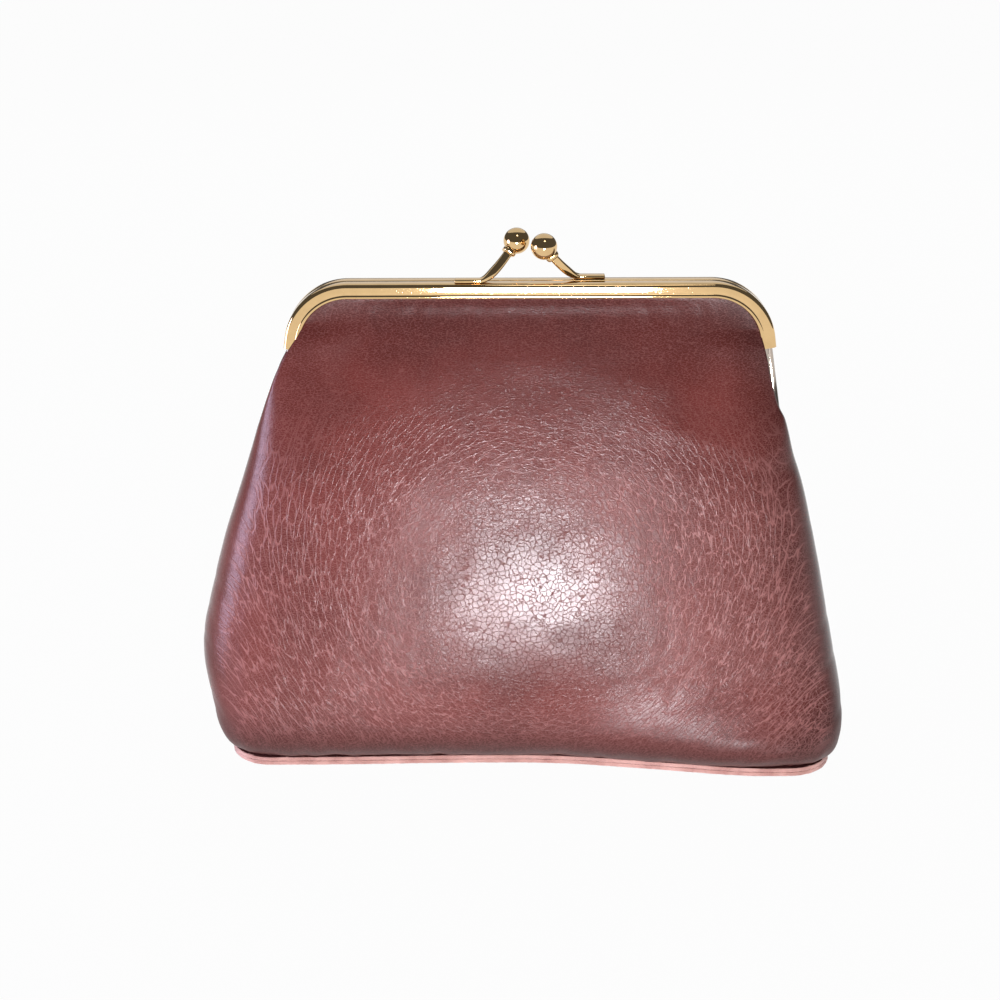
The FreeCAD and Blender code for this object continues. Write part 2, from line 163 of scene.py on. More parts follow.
FRONT_POWER = ((15.8, 0.31), (60.0, 0.38), (95.0, 0.45), (115.0, 0.7), (135.0, 1.2), (150.0, 2.0))
FOOT_BULGE = 13.0
RIGHT_FOOT_POWER = 0.55
SEAM_EDGE = 4.0
SEAM_CORNER = 10.0
SEAM_GAP = 0.75
SEAM_TOP = (93.0, 99.0)
EDGE_TURN = 2.0
LINING_GAP = 0.25
LINING_INSET = 6.2
LINING_LIP = 2.2
LINING_LIP_RISE = (124.0, 136.0)
LINING_TUCK_RISE = (92.0, 104.0)
LINING_FOOT = 3.3
CLOTH_WIDTH = 216.0
CLOTH_LENGTH = 168.0
HEM_TURN = 1.6
GROOVE_INSET = 2.6
LIP_INSET = 4.4
GROOVE_REACH = 2.0
GROOVE_CLEARANCE = 0.1
FOOT_ROWS = 14
PANEL_ROWS = 128
PANEL_COLUMNS = 210
TURN_COLUMNS = 4
SECTION_SAMPLES = 260
BELLY = (1.0, 57.0)
BELLY_RISE = 3.4
BELLY_WIDTH = 85.0
BELLY_HEIGHT = 40.0

# The front of the base leans forward toward the right
BASE_SWAY = ((-96.0, 0.4), (-60.0, 0.6), (-20.0, 1.4), (10.0, 0.8), (40.0, -3.0), (70.0, -7.2),
             (96.0, -7.0))
SWAY_LOW = 6.0
SWAY_HIGH = 34.0
SWAY_DEPTH = 20.0

# Base seam edge and sole
BASE_CORNER = 14.0
LEATHER_PLY = 1.4
BASE_POINTS = 640
EDGE_INNER = 7.0
BOARD_EDGE = 7.0
STITCH_INSET = 2.2
STITCH_PITCH = 3.4
STITCH_LENGTH = 2.3
STITCH_THICKNESS = 0.42
STITCH_TURN = 0.12
PLY_GAP = 0.03
PLY_ROUND = 0.22
PLY_STEP = 0.09
# Wear marks of the base plies, the third of them painted shade
PLY_WEAR_AND_SHADE = (0.3, 0.4, 0.9, 0.0)
RIM_SLOPE = 0.85
RIM_AREA = 0.3
FINE_FRAY = 1.1
BROAD_FRAY = 0.31
BROAD_FRAY_SHARE = 0.6

# Unevenness of the leather: how wide each kind of swell is and how high it stands
REAR_SEED = 40.0
DEPTH_SHARE = 0.3
BROAD_SIZE = (34.0, 27.0)
BROAD_HEIGHT = 0.32
BROAD_FREE = (LIP_Z - CHANNEL_HEIGHT - 14, LIP_Z - CHANNEL_HEIGHT - 22)
CREASE_PITCH = 6.5
CREASE_TURN = 4.2
CREASE_RING = (30.0, 75.0)
CREASE_RELIEF_TOP = (50.0, 95.0)
CREASE_HEIGHT = 0.16
RIDGE_SHARPNESS = 3.2
SMALL_SIZE = 7.0
SMALL_HEIGHT = 0.05
PUCKER_SIZE = 6.0
PUCKER_FADE = 9.0
PUCKER_HEIGHT = 0.6
GATHER_SIZE = (3.4, 24.0)
GATHER_FADE = 6.0
GATHER_HEIGHT = 0.12
LIP_CALM = (LIP_Z - 4, LIP_Z - 0.5)

# Wear of the leather and painted shade on it: the heights or distances between which each mark comes or
# goes
WEAR_AND_SHADE_MARKS = ("worn", "creased", "darkened", "cracked")
PATCH_SIZE = 45.0
CORNER_START = (35.0, 95.0)
CORNER_TOP = (70.0, 125.0)
FOOT_TOP = (8.0, 34.0)
LEFT_ASIDE = (0.4, 0.75)
RIGHT_ASIDE = (0.5, 0.8)
WEAR_START = (5.0, 24.0)
CRACK_END = (20.0, 58.0)
CREASE_START = (14.0, 50.0)
CREASE_TOP = (72.0, 132.0)
# Painted shade along the right edge, below the frame and at the foot
SHADE_EDGE = (78.0, 100.0)
SHADE_EDGE_LEAN = 0.18
SHADE_TOP = (118.0, 148.0)
SHADE_FOOT = (5.0, 28.0)

# Leather finish
GRAIN_STRETCH = (0.5, 1.0, 1.4)
CREASES_AROUND = 10.0
CREASES_ALONG = 0.78
PEBBLE_WIDTH = 2.6
CRACK_SHARE = 0.7
GRAIN_SHARE = 0.27
GRAIN_SHARE_CREASED = 0.3
# Broad paler tone where creased: partly rubbed wear, partly painted sheen
RUBBED_AND_SHEEN_SHARE = 0.11
LINE_PALENESS = 0.82
LINE_ROUGHNESS = 0.08
SPECK_ROUGHNESS = 0.03
FOOT_HEIGHTS = (10.0, 32.0)
FOOT_ROUGHNESS = 0.38
LEATHER_ROUGHNESS = 0.19
CALM_WHERE_DARK = 0.8
PEBBLE_HEIGHT = 0.11
GROOVE_HEIGHT = -0.5
LEATHER_GLOSS = 0.28

# Other finishes
FIBRE_STRETCH = (2.2, 2.2, 5.0)
SLUB_STRETCH = (0.02, 0.6, 1.0)
SCRATCH_TURNS = (0.4, 2.1)
SCRATCH_STRETCH = (0.12, 3.0, 3.0)
SCRATCH_ROUGHNESS = 0.012
HAZE_ROUGHNESS = 0.016
HAZE_SHARE = 0.35
FLOOR_GLOW = 0.97

# Stage, in metres, with the place, aim, width and colour of each lamp
FLOOR_SIZE = 6.0
CAMERA_PLACE = (-0.0094, -0.485, 0.280)
SENSOR_WIDTH = 36.0
LAMPS = {
    "front": ((0.024, -0.72, 0.035), (0.0, 0.0, 0.06), 0.16, (0.97, 0.95, 1.0)),
    "side": ((-0.70, -0.16, 0.12), (-0.05, 0.0, 0.06), 0.30, (0.78, 0.72, 1.0)),
    "top": ((0.10, -0.55, 1.1), (0.0, 0.0, 0.08), 0.25, (1.0, 0.98, 0.95)),
    "back": ((0.0, 0.75, 1.0), (0.0, 0.0, 0.15), 1.9, (0.92, 0.95, 1.0)),
}


# Small helpers for shapes


def kept(value):
    """A value kept between 0 and 1."""
    return min(max(value, 0.0), 1.0)


def smooth(low, high, value):
    """A smooth step from 0 at low to 1 at high."""
    t = kept((value - low) / (high - low))
    return t * t * (3 - 2 * t)


def through(points, place):
    """A smooth curve through pairs of place and value, level beyond both ends."""
    if place <= points[0][0]:
        return points[0][1]
    if place >= points[-1][0]:
        return points[-1][1]
    i = next(k for k in range(1, len(points)) if place <= points[k][0])

    def slope(k):
        low, high = points[max(k - 1, 0)], points[min(k + 1, len(points) - 1)]
        return (high[1] - low[1]) / (high[0] - low[0])

    (a, low), (b, high) = points[i - 1], points[i]
    span = b - a
    t = (place - a) / span
    bend = low * (1 + 2 * t) + slope(i - 1) * span * t
    return bend * (1 - t) ** 2 + (high * (3 - 2 * t) - slope(i) * span * (1 - t)) * t ** 2


def outline_x(inset, height):
    """Half width of the frame outline, moved inward by the inset, at a height."""
    radius = FRAME_CORNER - inset
    leg_x = CORNER_X + radius * math.cos(LEG_FLARE)
    leg_z = CORNER_Z + radius * math.sin(LEG_FLARE)
    if height <= leg_z:
        return leg_x + (leg_z - height) * math.tan(LEG_FLARE)
    return CORNER_X + math.sqrt(max(radius ** 2 - (height - CORNER_Z) ** 2, 0))


def edges_of(geometry):
    """The edges among a bmesh operator's results."""
    return [item for item in geometry if isinstance(item, bmesh.types.BMEdge)]


def verts_of(geometry):
    """The vertices among a bmesh operator's results."""
    return [item for item in geometry if isinstance(item, bmesh.types.BMVert)]


def ends_of(edges):
    """The vertices at the ends of some edges."""
    return list({v for edge in edges for v in edge.verts})


def edges_at(verts):
    """The edges that meet some vertices."""
    return list({edge for v in verts for edge in v.link_edges})


def drawn_out(bm, edges, matrix):
    """Extrudes a loop of edges and moves the new loop by a matrix."""
    new = bmesh.ops.extrude_edge_only(bm, edges=edges)["geom"]
    verts = verts_of(new)
    bmesh.ops.transform(bm, matrix=matrix, verts=verts)
    return [edge for edge in edges_of(new) if set(verts).issuperset(edge.verts)]


def swung(bm, edges, centre, axis, angle, steps):
    """Spins a loop of edges round an axis and gives the last loop."""
    last = bmesh.ops.spin(bm, geom=ends_of(edges) + edges, cent=centre, axis=axis, angle=angle, steps=steps)
    return edges_of(last["geom_last"])


def face_outward(bm):
    """Turns every face outward, also on a leaning bar, which the operator can turn inside out."""
    bmesh.ops.recalc_face_normals(bm, faces=bm.faces)
    if bm.calc_volume(signed=True) < 0:
        bmesh.ops.reverse_faces(bm, faces=bm.faces)
    bm.normal_update()


def tidied(bm):
    """Merges doubles and turns every face outward."""
    bmesh.ops.remove_doubles(bm, verts=bm.verts, dist=1e-4)
    face_outward(bm)


def rounded(bm, geometry, radius, affect, segments):
    """Rounds off corners or edges."""
    bmesh.ops.bevel(bm, geom=geometry, offset=radius, offset_type="OFFSET", affect=affect,
                    segments=segments, profile=0.5, material=-1)


def lathed(points, centre, axis, steps):
    """A shape turned from a line of points round an axis."""
    bm = bmesh.new()
    verts = [bm.verts.new(point) for point in points]
    edges = [bm.edges.new(pair) for pair in zip(verts, verts[1:])]
    bmesh.ops.spin(bm, geom=verts + edges, cent=centre, axis=axis, angle=TURN, steps=steps,
                   use_merge=True)
    tidied(bm)
    return bm


def turned_round(bm):
    """Turns a shape of the front half to face the rear."""
    half_turn = Matrix.Rotation(math.pi, 3, "Z")
    bmesh.ops.rotate(bm, cent=(0, 0, 0), matrix=half_turn, verts=bm.verts)


def mirrored(bm, axis):
    """Turns a shape to its mirror image across one axis."""
    scale = Vector((1, 1, 1))
    scale[axis] = -1
    bmesh.ops.scale(bm, vec=scale, verts=bm.verts)
    bmesh.ops.reverse_faces(bm, faces=bm.faces)


def new_piece(name, bm, finishes, sharp=40):
    """Makes an object of a shape, smooth but for edges sharper than an angle in degrees."""
    if not bm.faces:
        raise RuntimeError(name + " has no faces")
    bmesh.ops.scale(bm, vec=(MM, MM, MM), verts=bm.verts)
    mesh = bpy.data.meshes.new(name)
    bm.to_mesh(mesh)
    bm.free()
    for finish in finishes:
        mesh.materials.append(finish_of(finish))
    mesh.polygons.foreach_set("use_smooth", [True] * len(mesh.polygons))
    mesh.set_sharp_from_angle(angle=math.radians(sharp))
    piece = bpy.data.objects.new(name, mesh)
    bpy.context.scene.collection.objects.link(piece)
    return piece


def give_wall(piece, thickness, inner_material=0):
    """Gives a sheet its thickness toward the inside, where it may have another material."""
    wall = piece.modifiers.new("wall", "SOLIDIFY")
    wall.thickness = thickness
    wall.offset = -1.0
    wall.material_offset = inner_material
    bpy.context.view_layer.update()
    graph = bpy.context.evaluated_depsgraph_get()
    final = bpy.data.meshes.new_from_object(piece.evaluated_get(graph))
    piece.modifiers.clear()
    piece.data = final


def settle(piece, body, slot, *nodes):
    """Hangs a rigid piece on its body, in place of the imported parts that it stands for."""
    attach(piece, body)
    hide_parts(*nodes)


# Small helpers for materials


class Shader:
    """Adds nodes to a tree, where a value is either a number, a colour or another node's socket."""

    def __init__(self, tree):
        self.tree = tree

    def add(self, kind, settings=None, inputs=None):
        """One node with its settings and inputs."""
        node = self.tree.nodes.new(kind)
        for name, value in (settings or {}).items():
            setattr(node, name, value)
        for name, value in (inputs or {}).items():
            self.feed(node.inputs[name], value)
        return node

    def feed(self, socket, value):
        """Links or sets one input, and gives a plain colour its alpha."""
        if isinstance(value, bpy.types.NodeSocket):
            self.tree.links.new(value, socket)
        elif socket.type == "RGBA":
            socket.default_value = (*value, 1.0)
        else:
            socket.default_value = value

    def math(self, operation, first, second=0.0):
        """One sum."""
        return self.add("ShaderNodeMath", {"operation": operation}, {0: first, 1: second}).outputs[0]

    def plus(self, first, second):
        """Two values added."""
        return self.math("ADD", first, second)

    def times(self, first, second):
        """Two values multiplied."""
        return self.math("MULTIPLY", first, second)

    def larger(self, first, second):
        """The larger of two values."""
        return self.math("MAXIMUM", first, second)

    def vector(self, operation, first, second=(0, 0, 0)):
        """One sum of vectors."""
        return self.add("ShaderNodeVectorMath", {"operation": operation}, {0: first, 1: second}).outputs[0]

    def scaled(self, vector, factor):
        """A vector times a number."""
        inputs = {0: vector, "Scale": factor}
        return self.add("ShaderNodeVectorMath", {"operation": "SCALE"}, inputs).outputs[0]

    def parts(self, vector):
        """The three numbers of a vector."""
        return self.add("ShaderNodeSeparateXYZ", None, {0: vector}).outputs

    def joined(self, *parts):
        """A vector of three numbers."""
        return self.add("ShaderNodeCombineXYZ", None, dict(enumerate(parts))).outputs[0]

    def spread(self, value, low, high, to_low=0.0, to_high=1.0):
        """A smooth step of a value."""
        settings = {"interpolation_type": "SMOOTHSTEP"}
        inputs = {"Value": value, "From Min": low, "From Max": high, "To Min": to_low, "To Max": to_high}
        return self.add("ShaderNodeMapRange", settings, inputs).outputs[0]

    def mix(self, share, first, second):
        """Two colours mixed."""
        inputs = {0: share, 6: first, 7: second}
        return self.add("ShaderNodeMix", {"data_type": "RGBA"}, inputs).outputs[2]

    def noise(self, vector, scale, detail=3.0, rough=0.55):
        """A cloudy noise."""
        inputs = {"Vector": vector, "Scale": scale, "Detail": detail, "Roughness": rough}
        return self.add("ShaderNodeTexNoise", None, inputs).outputs["Fac"]

    def shared(self, name, vector, **values):
        """What a shared group makes of a vector and its own values."""
        inputs = {"Vector": vector, **values}
        return self.add("ShaderNodeGroup", {"node_tree": shared_group(name)}, inputs).outputs

    def attribute(self, name):
        """A value kept on the vertices."""
        return self.add("ShaderNodeAttribute", {"attribute_name": name}).outputs["Fac"]

    def place(self):
        """The point on the piece, in millimetres."""
        return self.scaled(self.add("ShaderNodeTexCoord").outputs["Object"], 1 / MM)

    def twist(self, slant, pitch):
        """Ridges that wind along a cord."""
        x, y, z = self.parts(self.place())
        run = self.plus(self.plus(x, self.times(y, slant)), z)
        return self.spread(self.math("SINE", self.times(run, pitch)), -1.0, 1.0)


class Finish(Shader):
    """A new material and its main shader."""

    def __init__(self, name):
        material = bpy.data.materials.new(name)
        material.use_nodes = True
        super().__init__(material.node_tree)
        self.main = self.tree.nodes["Principled BSDF"]

    def dress(self, colour, rough, height, depth, **others):
        """Feeds the main shader its colour, roughness and relief, with the depth in millimetres."""
        inputs = {"Height": height, "Distance": depth * MM, "Strength": 1.0}
        bump = self.add("ShaderNodeBump", None, inputs).outputs[0]
        given = {"Base Color": colour, "Roughness": rough, "Normal": bump}
        for name, value in others.items():
            given[name.replace("_", " ").title()] = value
        for name, value in given.items():
            self.feed(self.main.inputs[name], value)


def new_group(name, values, outputs):
    """A shader group of a vector and some numbers: its shader, what it is given and what it makes."""
    tree = bpy.data.node_groups.new(name, "ShaderNodeTree")
    tree.interface.new_socket(name="Vector", in_out="INPUT", socket_type="NodeSocketVector")
    for label, value in values.items():
        socket = tree.interface.new_socket(name=label, in_out="INPUT", socket_type="NodeSocketFloat")
        socket.default_value = value
    for label in outputs:
        tree.interface.new_socket(name=label, in_out="OUTPUT", socket_type="NodeSocketFloat")
    shader = Shader(tree)
    given = shader.add("NodeGroupInput").outputs
    return shader, given, shader.add("NodeGroupOutput").inputs


def cell_lines_group(name):
    """Thin lines between cells, wandering a little, as between the pebbles of leather grain."""
    values = {"Scale": 1.0, "Width": 0.1, "Wander": 0.3}
    shader, given, result = new_group(name, values, ("Lines", "Pebble"))
    scaled = shader.scaled(given["Vector"], given["Scale"])
    stray = shader.add("ShaderNodeTexNoise", None, {"Vector": scaled, "Scale": 1.3, "Detail": 2.0})
    centred = shader.vector("SUBTRACT", stray.outputs["Color"], (0.5, 0.5, 0.5))
    moved = shader.vector("ADD", scaled, shader.scaled(centred, given["Wander"]))
    inputs = {"Vector": moved, "Scale": 1.0}
    cells = shader.add("ShaderNodeTexVoronoi", {"feature": "DISTANCE_TO_EDGE"}, inputs)
    distance = cells.outputs["Distance"]
    shader.feed(result["Lines"], shader.spread(distance, 0.0, given["Width"], 1.0, 0.0))
    pebble_width = shader.times(given["Width"], PEBBLE_WIDTH)
    shader.feed(result["Pebble"], shader.spread(distance, 0.0, pebble_width))


def mottle_group(name):
    """Cloudy variation at two sizes, as in dyed hide, board or worn plating."""
    shader, given, result = new_group(name, {"Broad": 0.03, "Fine": 0.3}, ("Cloud", "Speck"))
    broad = shader.noise(given["Vector"], given["Broad"], 4.0)
    fine = shader.noise(given["Vector"], given["Fine"], 3.0, 0.6)
    shader.feed(result["Cloud"], shader.spread(broad, 0.3, 0.7))
    shader.feed(result["Speck"], shader.spread(fine, 0.3, 0.7))


def scuff_group(name):
    """Fine straight scratches in two directions and a soft haze, as on polished plating."""
    shader, given, result = new_group(name, {"Amount": 1.0}, ("Scratch", "Haze"))
    lines = []
    for turn in SCRATCH_TURNS:
        inputs = {"Vector": given["Vector"], "Rotation": (turn, 0.3, turn)}
        turned = shader.add("ShaderNodeMapping", None, inputs).outputs[0]
        stretched = shader.vector("MULTIPLY", turned, SCRATCH_STRETCH)
        lines.append(shader.spread(shader.noise(stretched, 1.0, 2.0), 0.66, 0.74))
    haze = shader.spread(shader.noise(given["Vector"], 0.25, 4.0, 0.65), 0.35, 0.75)
    shader.feed(result["Scratch"], shader.times(shader.larger(*lines), given["Amount"]))
    shader.feed(result["Haze"], shader.times(haze, given["Amount"]))


GROUP_MAKERS = {"Cell lines": cell_lines_group, "Mottle": mottle_group, "Scuffs": scuff_group}


def shared_group(name):
    """A shader group, made when it is first asked for."""
    if name not in bpy.data.node_groups:
        GROUP_MAKERS[name](name)
    return bpy.data.node_groups[name]


def leather_material(shader, colours):
    """Waxed hide: fine pebble grain, creases that run round the belly, paler worn lines, some painted sheen
    and painted shade.
    """
    place = shader.place()
    x, y, z = shader.parts(place)
    across = shader.math("SUBTRACT", x, BELLY[0])
    flat = shader.joined(across, 0.0, shader.math("SUBTRACT", z, BELLY[1]))
    length = shader.add("ShaderNodeVectorMath", {"operation": "LENGTH"}, {0: flat}).outputs["Value"]
    heading = shader.parts(shader.scaled(shader.vector("NORMALIZE", flat), CREASES_AROUND))
    radius = shader.times(shader.plus(length, shader.math("ABSOLUTE", y)), CREASES_ALONG)
    polar = shader.joined(radius, heading[0], heading[2])
    drawn = shader.vector("MULTIPLY", place, GRAIN_STRETCH)
    fine = shader.shared("Cell lines", drawn, Scale=1.5, Width=0.12, Wander=0.8)
    crease = shader.shared("Cell lines", polar, Scale=1.0, Width=0.085, Wander=0.9)
    worn = shader.shared("Cell lines", place, Scale=0.44, Width=0.06, Wander=0.9)
    crack = shader.shared("Cell lines", place, Scale=0.6, Width=0.055, Wander=0.9)
    cloud = shader.shared("Mottle", place, Broad=0.035, Fine=0.22)
    worn_here, creased_here, painted_shade_here, cracked_here = map(shader.attribute, WEAR_AND_SHADE_MARKS)
    worn_lines = shader.times(worn["Lines"], worn_here)
    coarse_lines = shader.larger(worn_lines, shader.times(crease["Lines"], creased_here))
    crack_share = shader.times(cracked_here, CRACK_SHARE)
    crack_lines = shader.times(crack["Lines"], crack_share)
    fine_share = shader.plus(shader.times(creased_here, GRAIN_SHARE_CREASED), GRAIN_SHARE)
    lines = shader.larger(coarse_lines, shader.times(fine["Lines"], fine_share))
    # Cloudy tone of the dye, varying at random
    shade = shader.spread(cloud["Cloud"], 0.0, 1.0, 0.6, 1.0)
    tone = shader.mix(shade, colours.leather_dark_and_shade, colours.leather)
    # Broad paler tone where creased: partly rubbed wear, partly painted sheen
    tone = shader.mix(shader.times(creased_here, RUBBED_AND_SHEEN_SHARE), tone, colours.leather_line)
    # Painted shade at the foot, along the right edge and below the frame
    tone = shader.mix(painted_shade_here, tone, colours.leather_dark_and_shade)
    tone = shader.mix(shader.times(lines, LINE_PALENESS), tone, colours.leather_line)
    rough = shader.spread(z, *FOOT_HEIGHTS, FOOT_ROUGHNESS, LEATHER_ROUGHNESS)
    rough = shader.plus(shader.times(lines, LINE_ROUGHNESS), rough)
    rough = shader.plus(rough, shader.times(cloud["Speck"], SPECK_ROUGHNESS))
    calm = shader.larger(crack_share, shader.times(painted_shade_here, CALM_WHERE_DARK))
    grain = shader.times(shader.math("SUBTRACT", 1.0, calm), PEBBLE_HEIGHT)
    pebble = shader.times(fine["Pebble"], grain)
    grooves = shader.times(shader.larger(coarse_lines, crack_lines), GROOVE_HEIGHT)
    shader.dress(tone, rough, shader.plus(pebble, grooves), depth=0.14)
    shader.main.inputs["Specular IOR Level"].default_value = LEATHER_GLOSS


def suede_material(shader, colours):
    """Raw flesh side and cut edges of the hide: pale, fibrous and dull."""
    place = shader.place()
    fibre = shader.noise(shader.vector("MULTIPLY", place, FIBRE_STRETCH), 1.6, 5.0, 0.7)
    cloud = shader.shared("Mottle", place, Broad=0.12, Fine=1.6)
    tone = shader.mix(cloud["Cloud"], colours.raw_edge_dark, colours.raw_edge)
    tone = shader.mix(shader.spread(fibre, 0.35, 0.7, 0.0, 0.6), tone, colours.raw_edge_pale)
    rough = shader.spread(cloud["Speck"], 0.0, 1.0, 0.85, 0.95)
    shader.dress(tone, rough, fibre, depth=0.25, sheen_weight=0.3, sheen_roughness=0.5)


def lining_material(shader, colours):
    """Plain woven lining: over and under threads along the sheet's own width and length."""
    threads = shader.add("ShaderNodeUVMap", {"uv_map": "threads"}).outputs[0]
    runs = shader.parts(threads)[:2]
    waves = [shader.math("SINE", shader.times(run, math.pi)) for run in runs]
    over = shader.spread(shader.times(*waves), -0.35, 0.35)
    under = shader.math("SUBTRACT", 1.0, over)
    ridges = [shader.math("ABSOLUTE", wave) for wave in waves]
    height = shader.plus(shader.times(over, ridges[0]), shader.times(under, ridges[1]))
    slub = shader.noise(shader.vector("MULTIPLY", threads, SLUB_STRETCH), 1.0, 2.0)
    tone = shader.mix(shader.spread(slub, 0.35, 0.7), colours.lining_dark, colours.lining)
    # Raised threads lean to the plain colour, so the hollows of the weave keep a painted shade
    tone = shader.mix(shader.times(height, 0.5), tone, colours.lining)
    rough = shader.spread(height, 0.0, 1.0, 0.85, 0.68)
    shader.dress(tone, rough, height, depth=0.12, sheen_weight=0.2)


def metal_material(shader, colour, dull, base_rough):
    """Polished plating with fine scuffs and a little haze."""
    scuffs = shader.shared("Scuffs", shader.place(), Amount=1.0)
    tone = shader.mix(shader.times(scuffs["Haze"], HAZE_SHARE), colour, dull)
    scratched = shader.times(scuffs["Scratch"], SCRATCH_ROUGHNESS)
    marks = shader.plus(scratched, shader.times(scuffs["Haze"], HAZE_ROUGHNESS))
    shader.dress(tone, shader.plus(marks, base_rough), scuffs["Scratch"], depth=0.001, metallic=1.0)


def gold_material(shader, colours):
    """Gold plating of the frame and the lock."""
    metal_material(shader, colours.gold, colours.gold_tarnish, 0.04)


def steel_material(shader, colours):
    """Pale plating of the hinge legs and rivets."""
    metal_material(shader, colours.steel, colours.steel_tarnish, 0.09)


def board_material(shader, colours):
    """Grey pressed board with flecks of fibre."""
    cloud = shader.shared("Mottle", shader.place(), Broad=0.2, Fine=1.4)
    tone = shader.mix(cloud["Speck"], colours.board_dark, colours.board)
    rough = shader.spread(cloud["Cloud"], 0.0, 1.0, 0.8, 0.92)
    shader.dress(tone, rough, cloud["Speck"], depth=0.08)


def paper_material(shader, colours):
    """Twisted kraft paper cord, with painted shade in the grooves of its twist."""
    height = shader.twist(slant=1.4, pitch=5.0)
    cloud = shader.shared("Mottle", shader.place(), Broad=0.3, Fine=2.0)
    tone = shader.mix(cloud["Speck"], colours.paper_dark_and_shade, colours.paper)
    # Painted shade in the grooves of the twist
    tone = shader.mix(height, colours.paper_dark_and_shade, tone)
    rough = shader.spread(cloud["Cloud"], 0.0, 1.0, 0.8, 0.95)
    shader.dress(tone, rough, height, depth=0.08)


def thread_material(shader, colours):
    """Twisted sewing thread, with painted shade in the grooves of its twist."""
    height = shader.twist(slant=1.0, pitch=11.0)
    tone = shader.mix(height, colours.thread_dark, colours.thread)
    rough = shader.spread(height, 0.0, 1.0, 0.7, 0.5)
    shader.dress(tone, rough, height, depth=0.05)


def floor_material(shader, colours):
    """Pale floor that shows white to the camera and in reflections, and keeps the purse's shadow."""
    path = shader.add("ShaderNodeLightPath").outputs
    seen = shader.larger(path["Is Camera Ray"], path["Is Glossy Ray"])
    seen = shader.larger(seen, path["Is Transmission Ray"])
    shader.feed(shader.main.inputs["Base Color"], colours.floor)
    shader.main.inputs["Roughness"].default_value = 0.9
    glow = shader.add("ShaderNodeEmission", None, {"Color": (1, 1, 1), "Strength": 1.0}).outputs[0]
    inputs = {0: shader.times(seen, FLOOR_GLOW), 1: shader.main.outputs[0], 2: glow}
    both = shader.add("ShaderNodeMixShader", None, inputs).outputs[0]
    shader.feed(shader.tree.nodes["Material Output"].inputs["Surface"], both)


MATERIAL_MAKERS = {
    "waxed_leather": leather_material,
    "raw_suede": suede_material,
    "woven_lining": lining_material,
    "polished_gold": gold_material,
    "pale_steel": steel_material,
    "pressed_board": board_material,
    "twisted_paper": paper_material,
    "sewing_thread": thread_material,
    "pale_floor": floor_material,
}


def finish_of(name):
    """A material, made when it is first asked for."""
    if name not in bpy.data.materials:
        MATERIAL_MAKERS[name](Finish(name), bpy.context.scene.purse_colours)
    return bpy.data.materials[name]


# Leather and lining


def sway(x, y, z):
    """How far the front of the foot leans out of the straight at a point."""
    fade = 1 - smooth(SWAY_LOW, SWAY_HIGH, z)
    return through(BASE_SWAY, x) * fade * smooth(0, SWAY_DEPTH, -y)


def panel_rows():
    """Height of each row of a panel and how far the foot has swelled out there."""
    widest = 2 * LEATHER_PLY + FOOT_BULGE
    rows = []
    for i in range(FOOT_ROWS):
        turn = math.pi / 2 * i / FOOT_ROWS
        rows.append((widest - FOOT_BULGE * math.cos(turn), math.sin(turn)))
    for i in range(PANEL_ROWS + 1):
        rows.append((widest + (LIP_Z - widest) * i / PANEL_ROWS, 1.0))
    for i in range(1, 3):
        rows.append((LIP_Z + GROOVE_REACH * i / 2, 1.0))
    return rows


def half_width(side, z):
    """Where the panel's side edge is, to the left for side -1 and the right for side 1."""
    table = LEFT_SIDE if side < 0 else RIGHT_SIDE
    if z <= table[-1][0]:
        return through(table, z)
    if z <= LIP_Z:
        return min(table[-1][1], outline_x(LIP_INSET, z))
    return outline_x(GROOVE_INSET, z)


def turned_edge(z, width, depth):
    """Where the side edge ends after it has turned inward: in the seam, in a hem or in the groove."""
    if z > CHANNEL_END and depth < BEAD_DEPTH:
        return outline_x(GROOVE_INSET, z), min(depth, -GROOVE_FRONT - GROOVE_CLEARANCE)
    seam = smooth(*SEAM_TOP, z)
    return width - EDGE_TURN, SEAM_GAP + (depth - HEM_TURN - SEAM_GAP) * seam


def evenly(points, count):
    """Points spaced evenly along a line of points."""
    runs = [0.0]
    for a, b in zip(points, points[1:]):
        runs.append(runs[-1] + (b - a).length)
    even = []
    k = 0
    for i in range(count + 1):
        want = runs[-1] * i / count
        while k < len(points) - 2 and runs[k + 1] < want:
            k += 1
        part = (want - runs[k]) / max(runs[k + 1] - runs[k], 1e-9)
        even.append(points[k].lerp(points[k + 1], part))
    return even


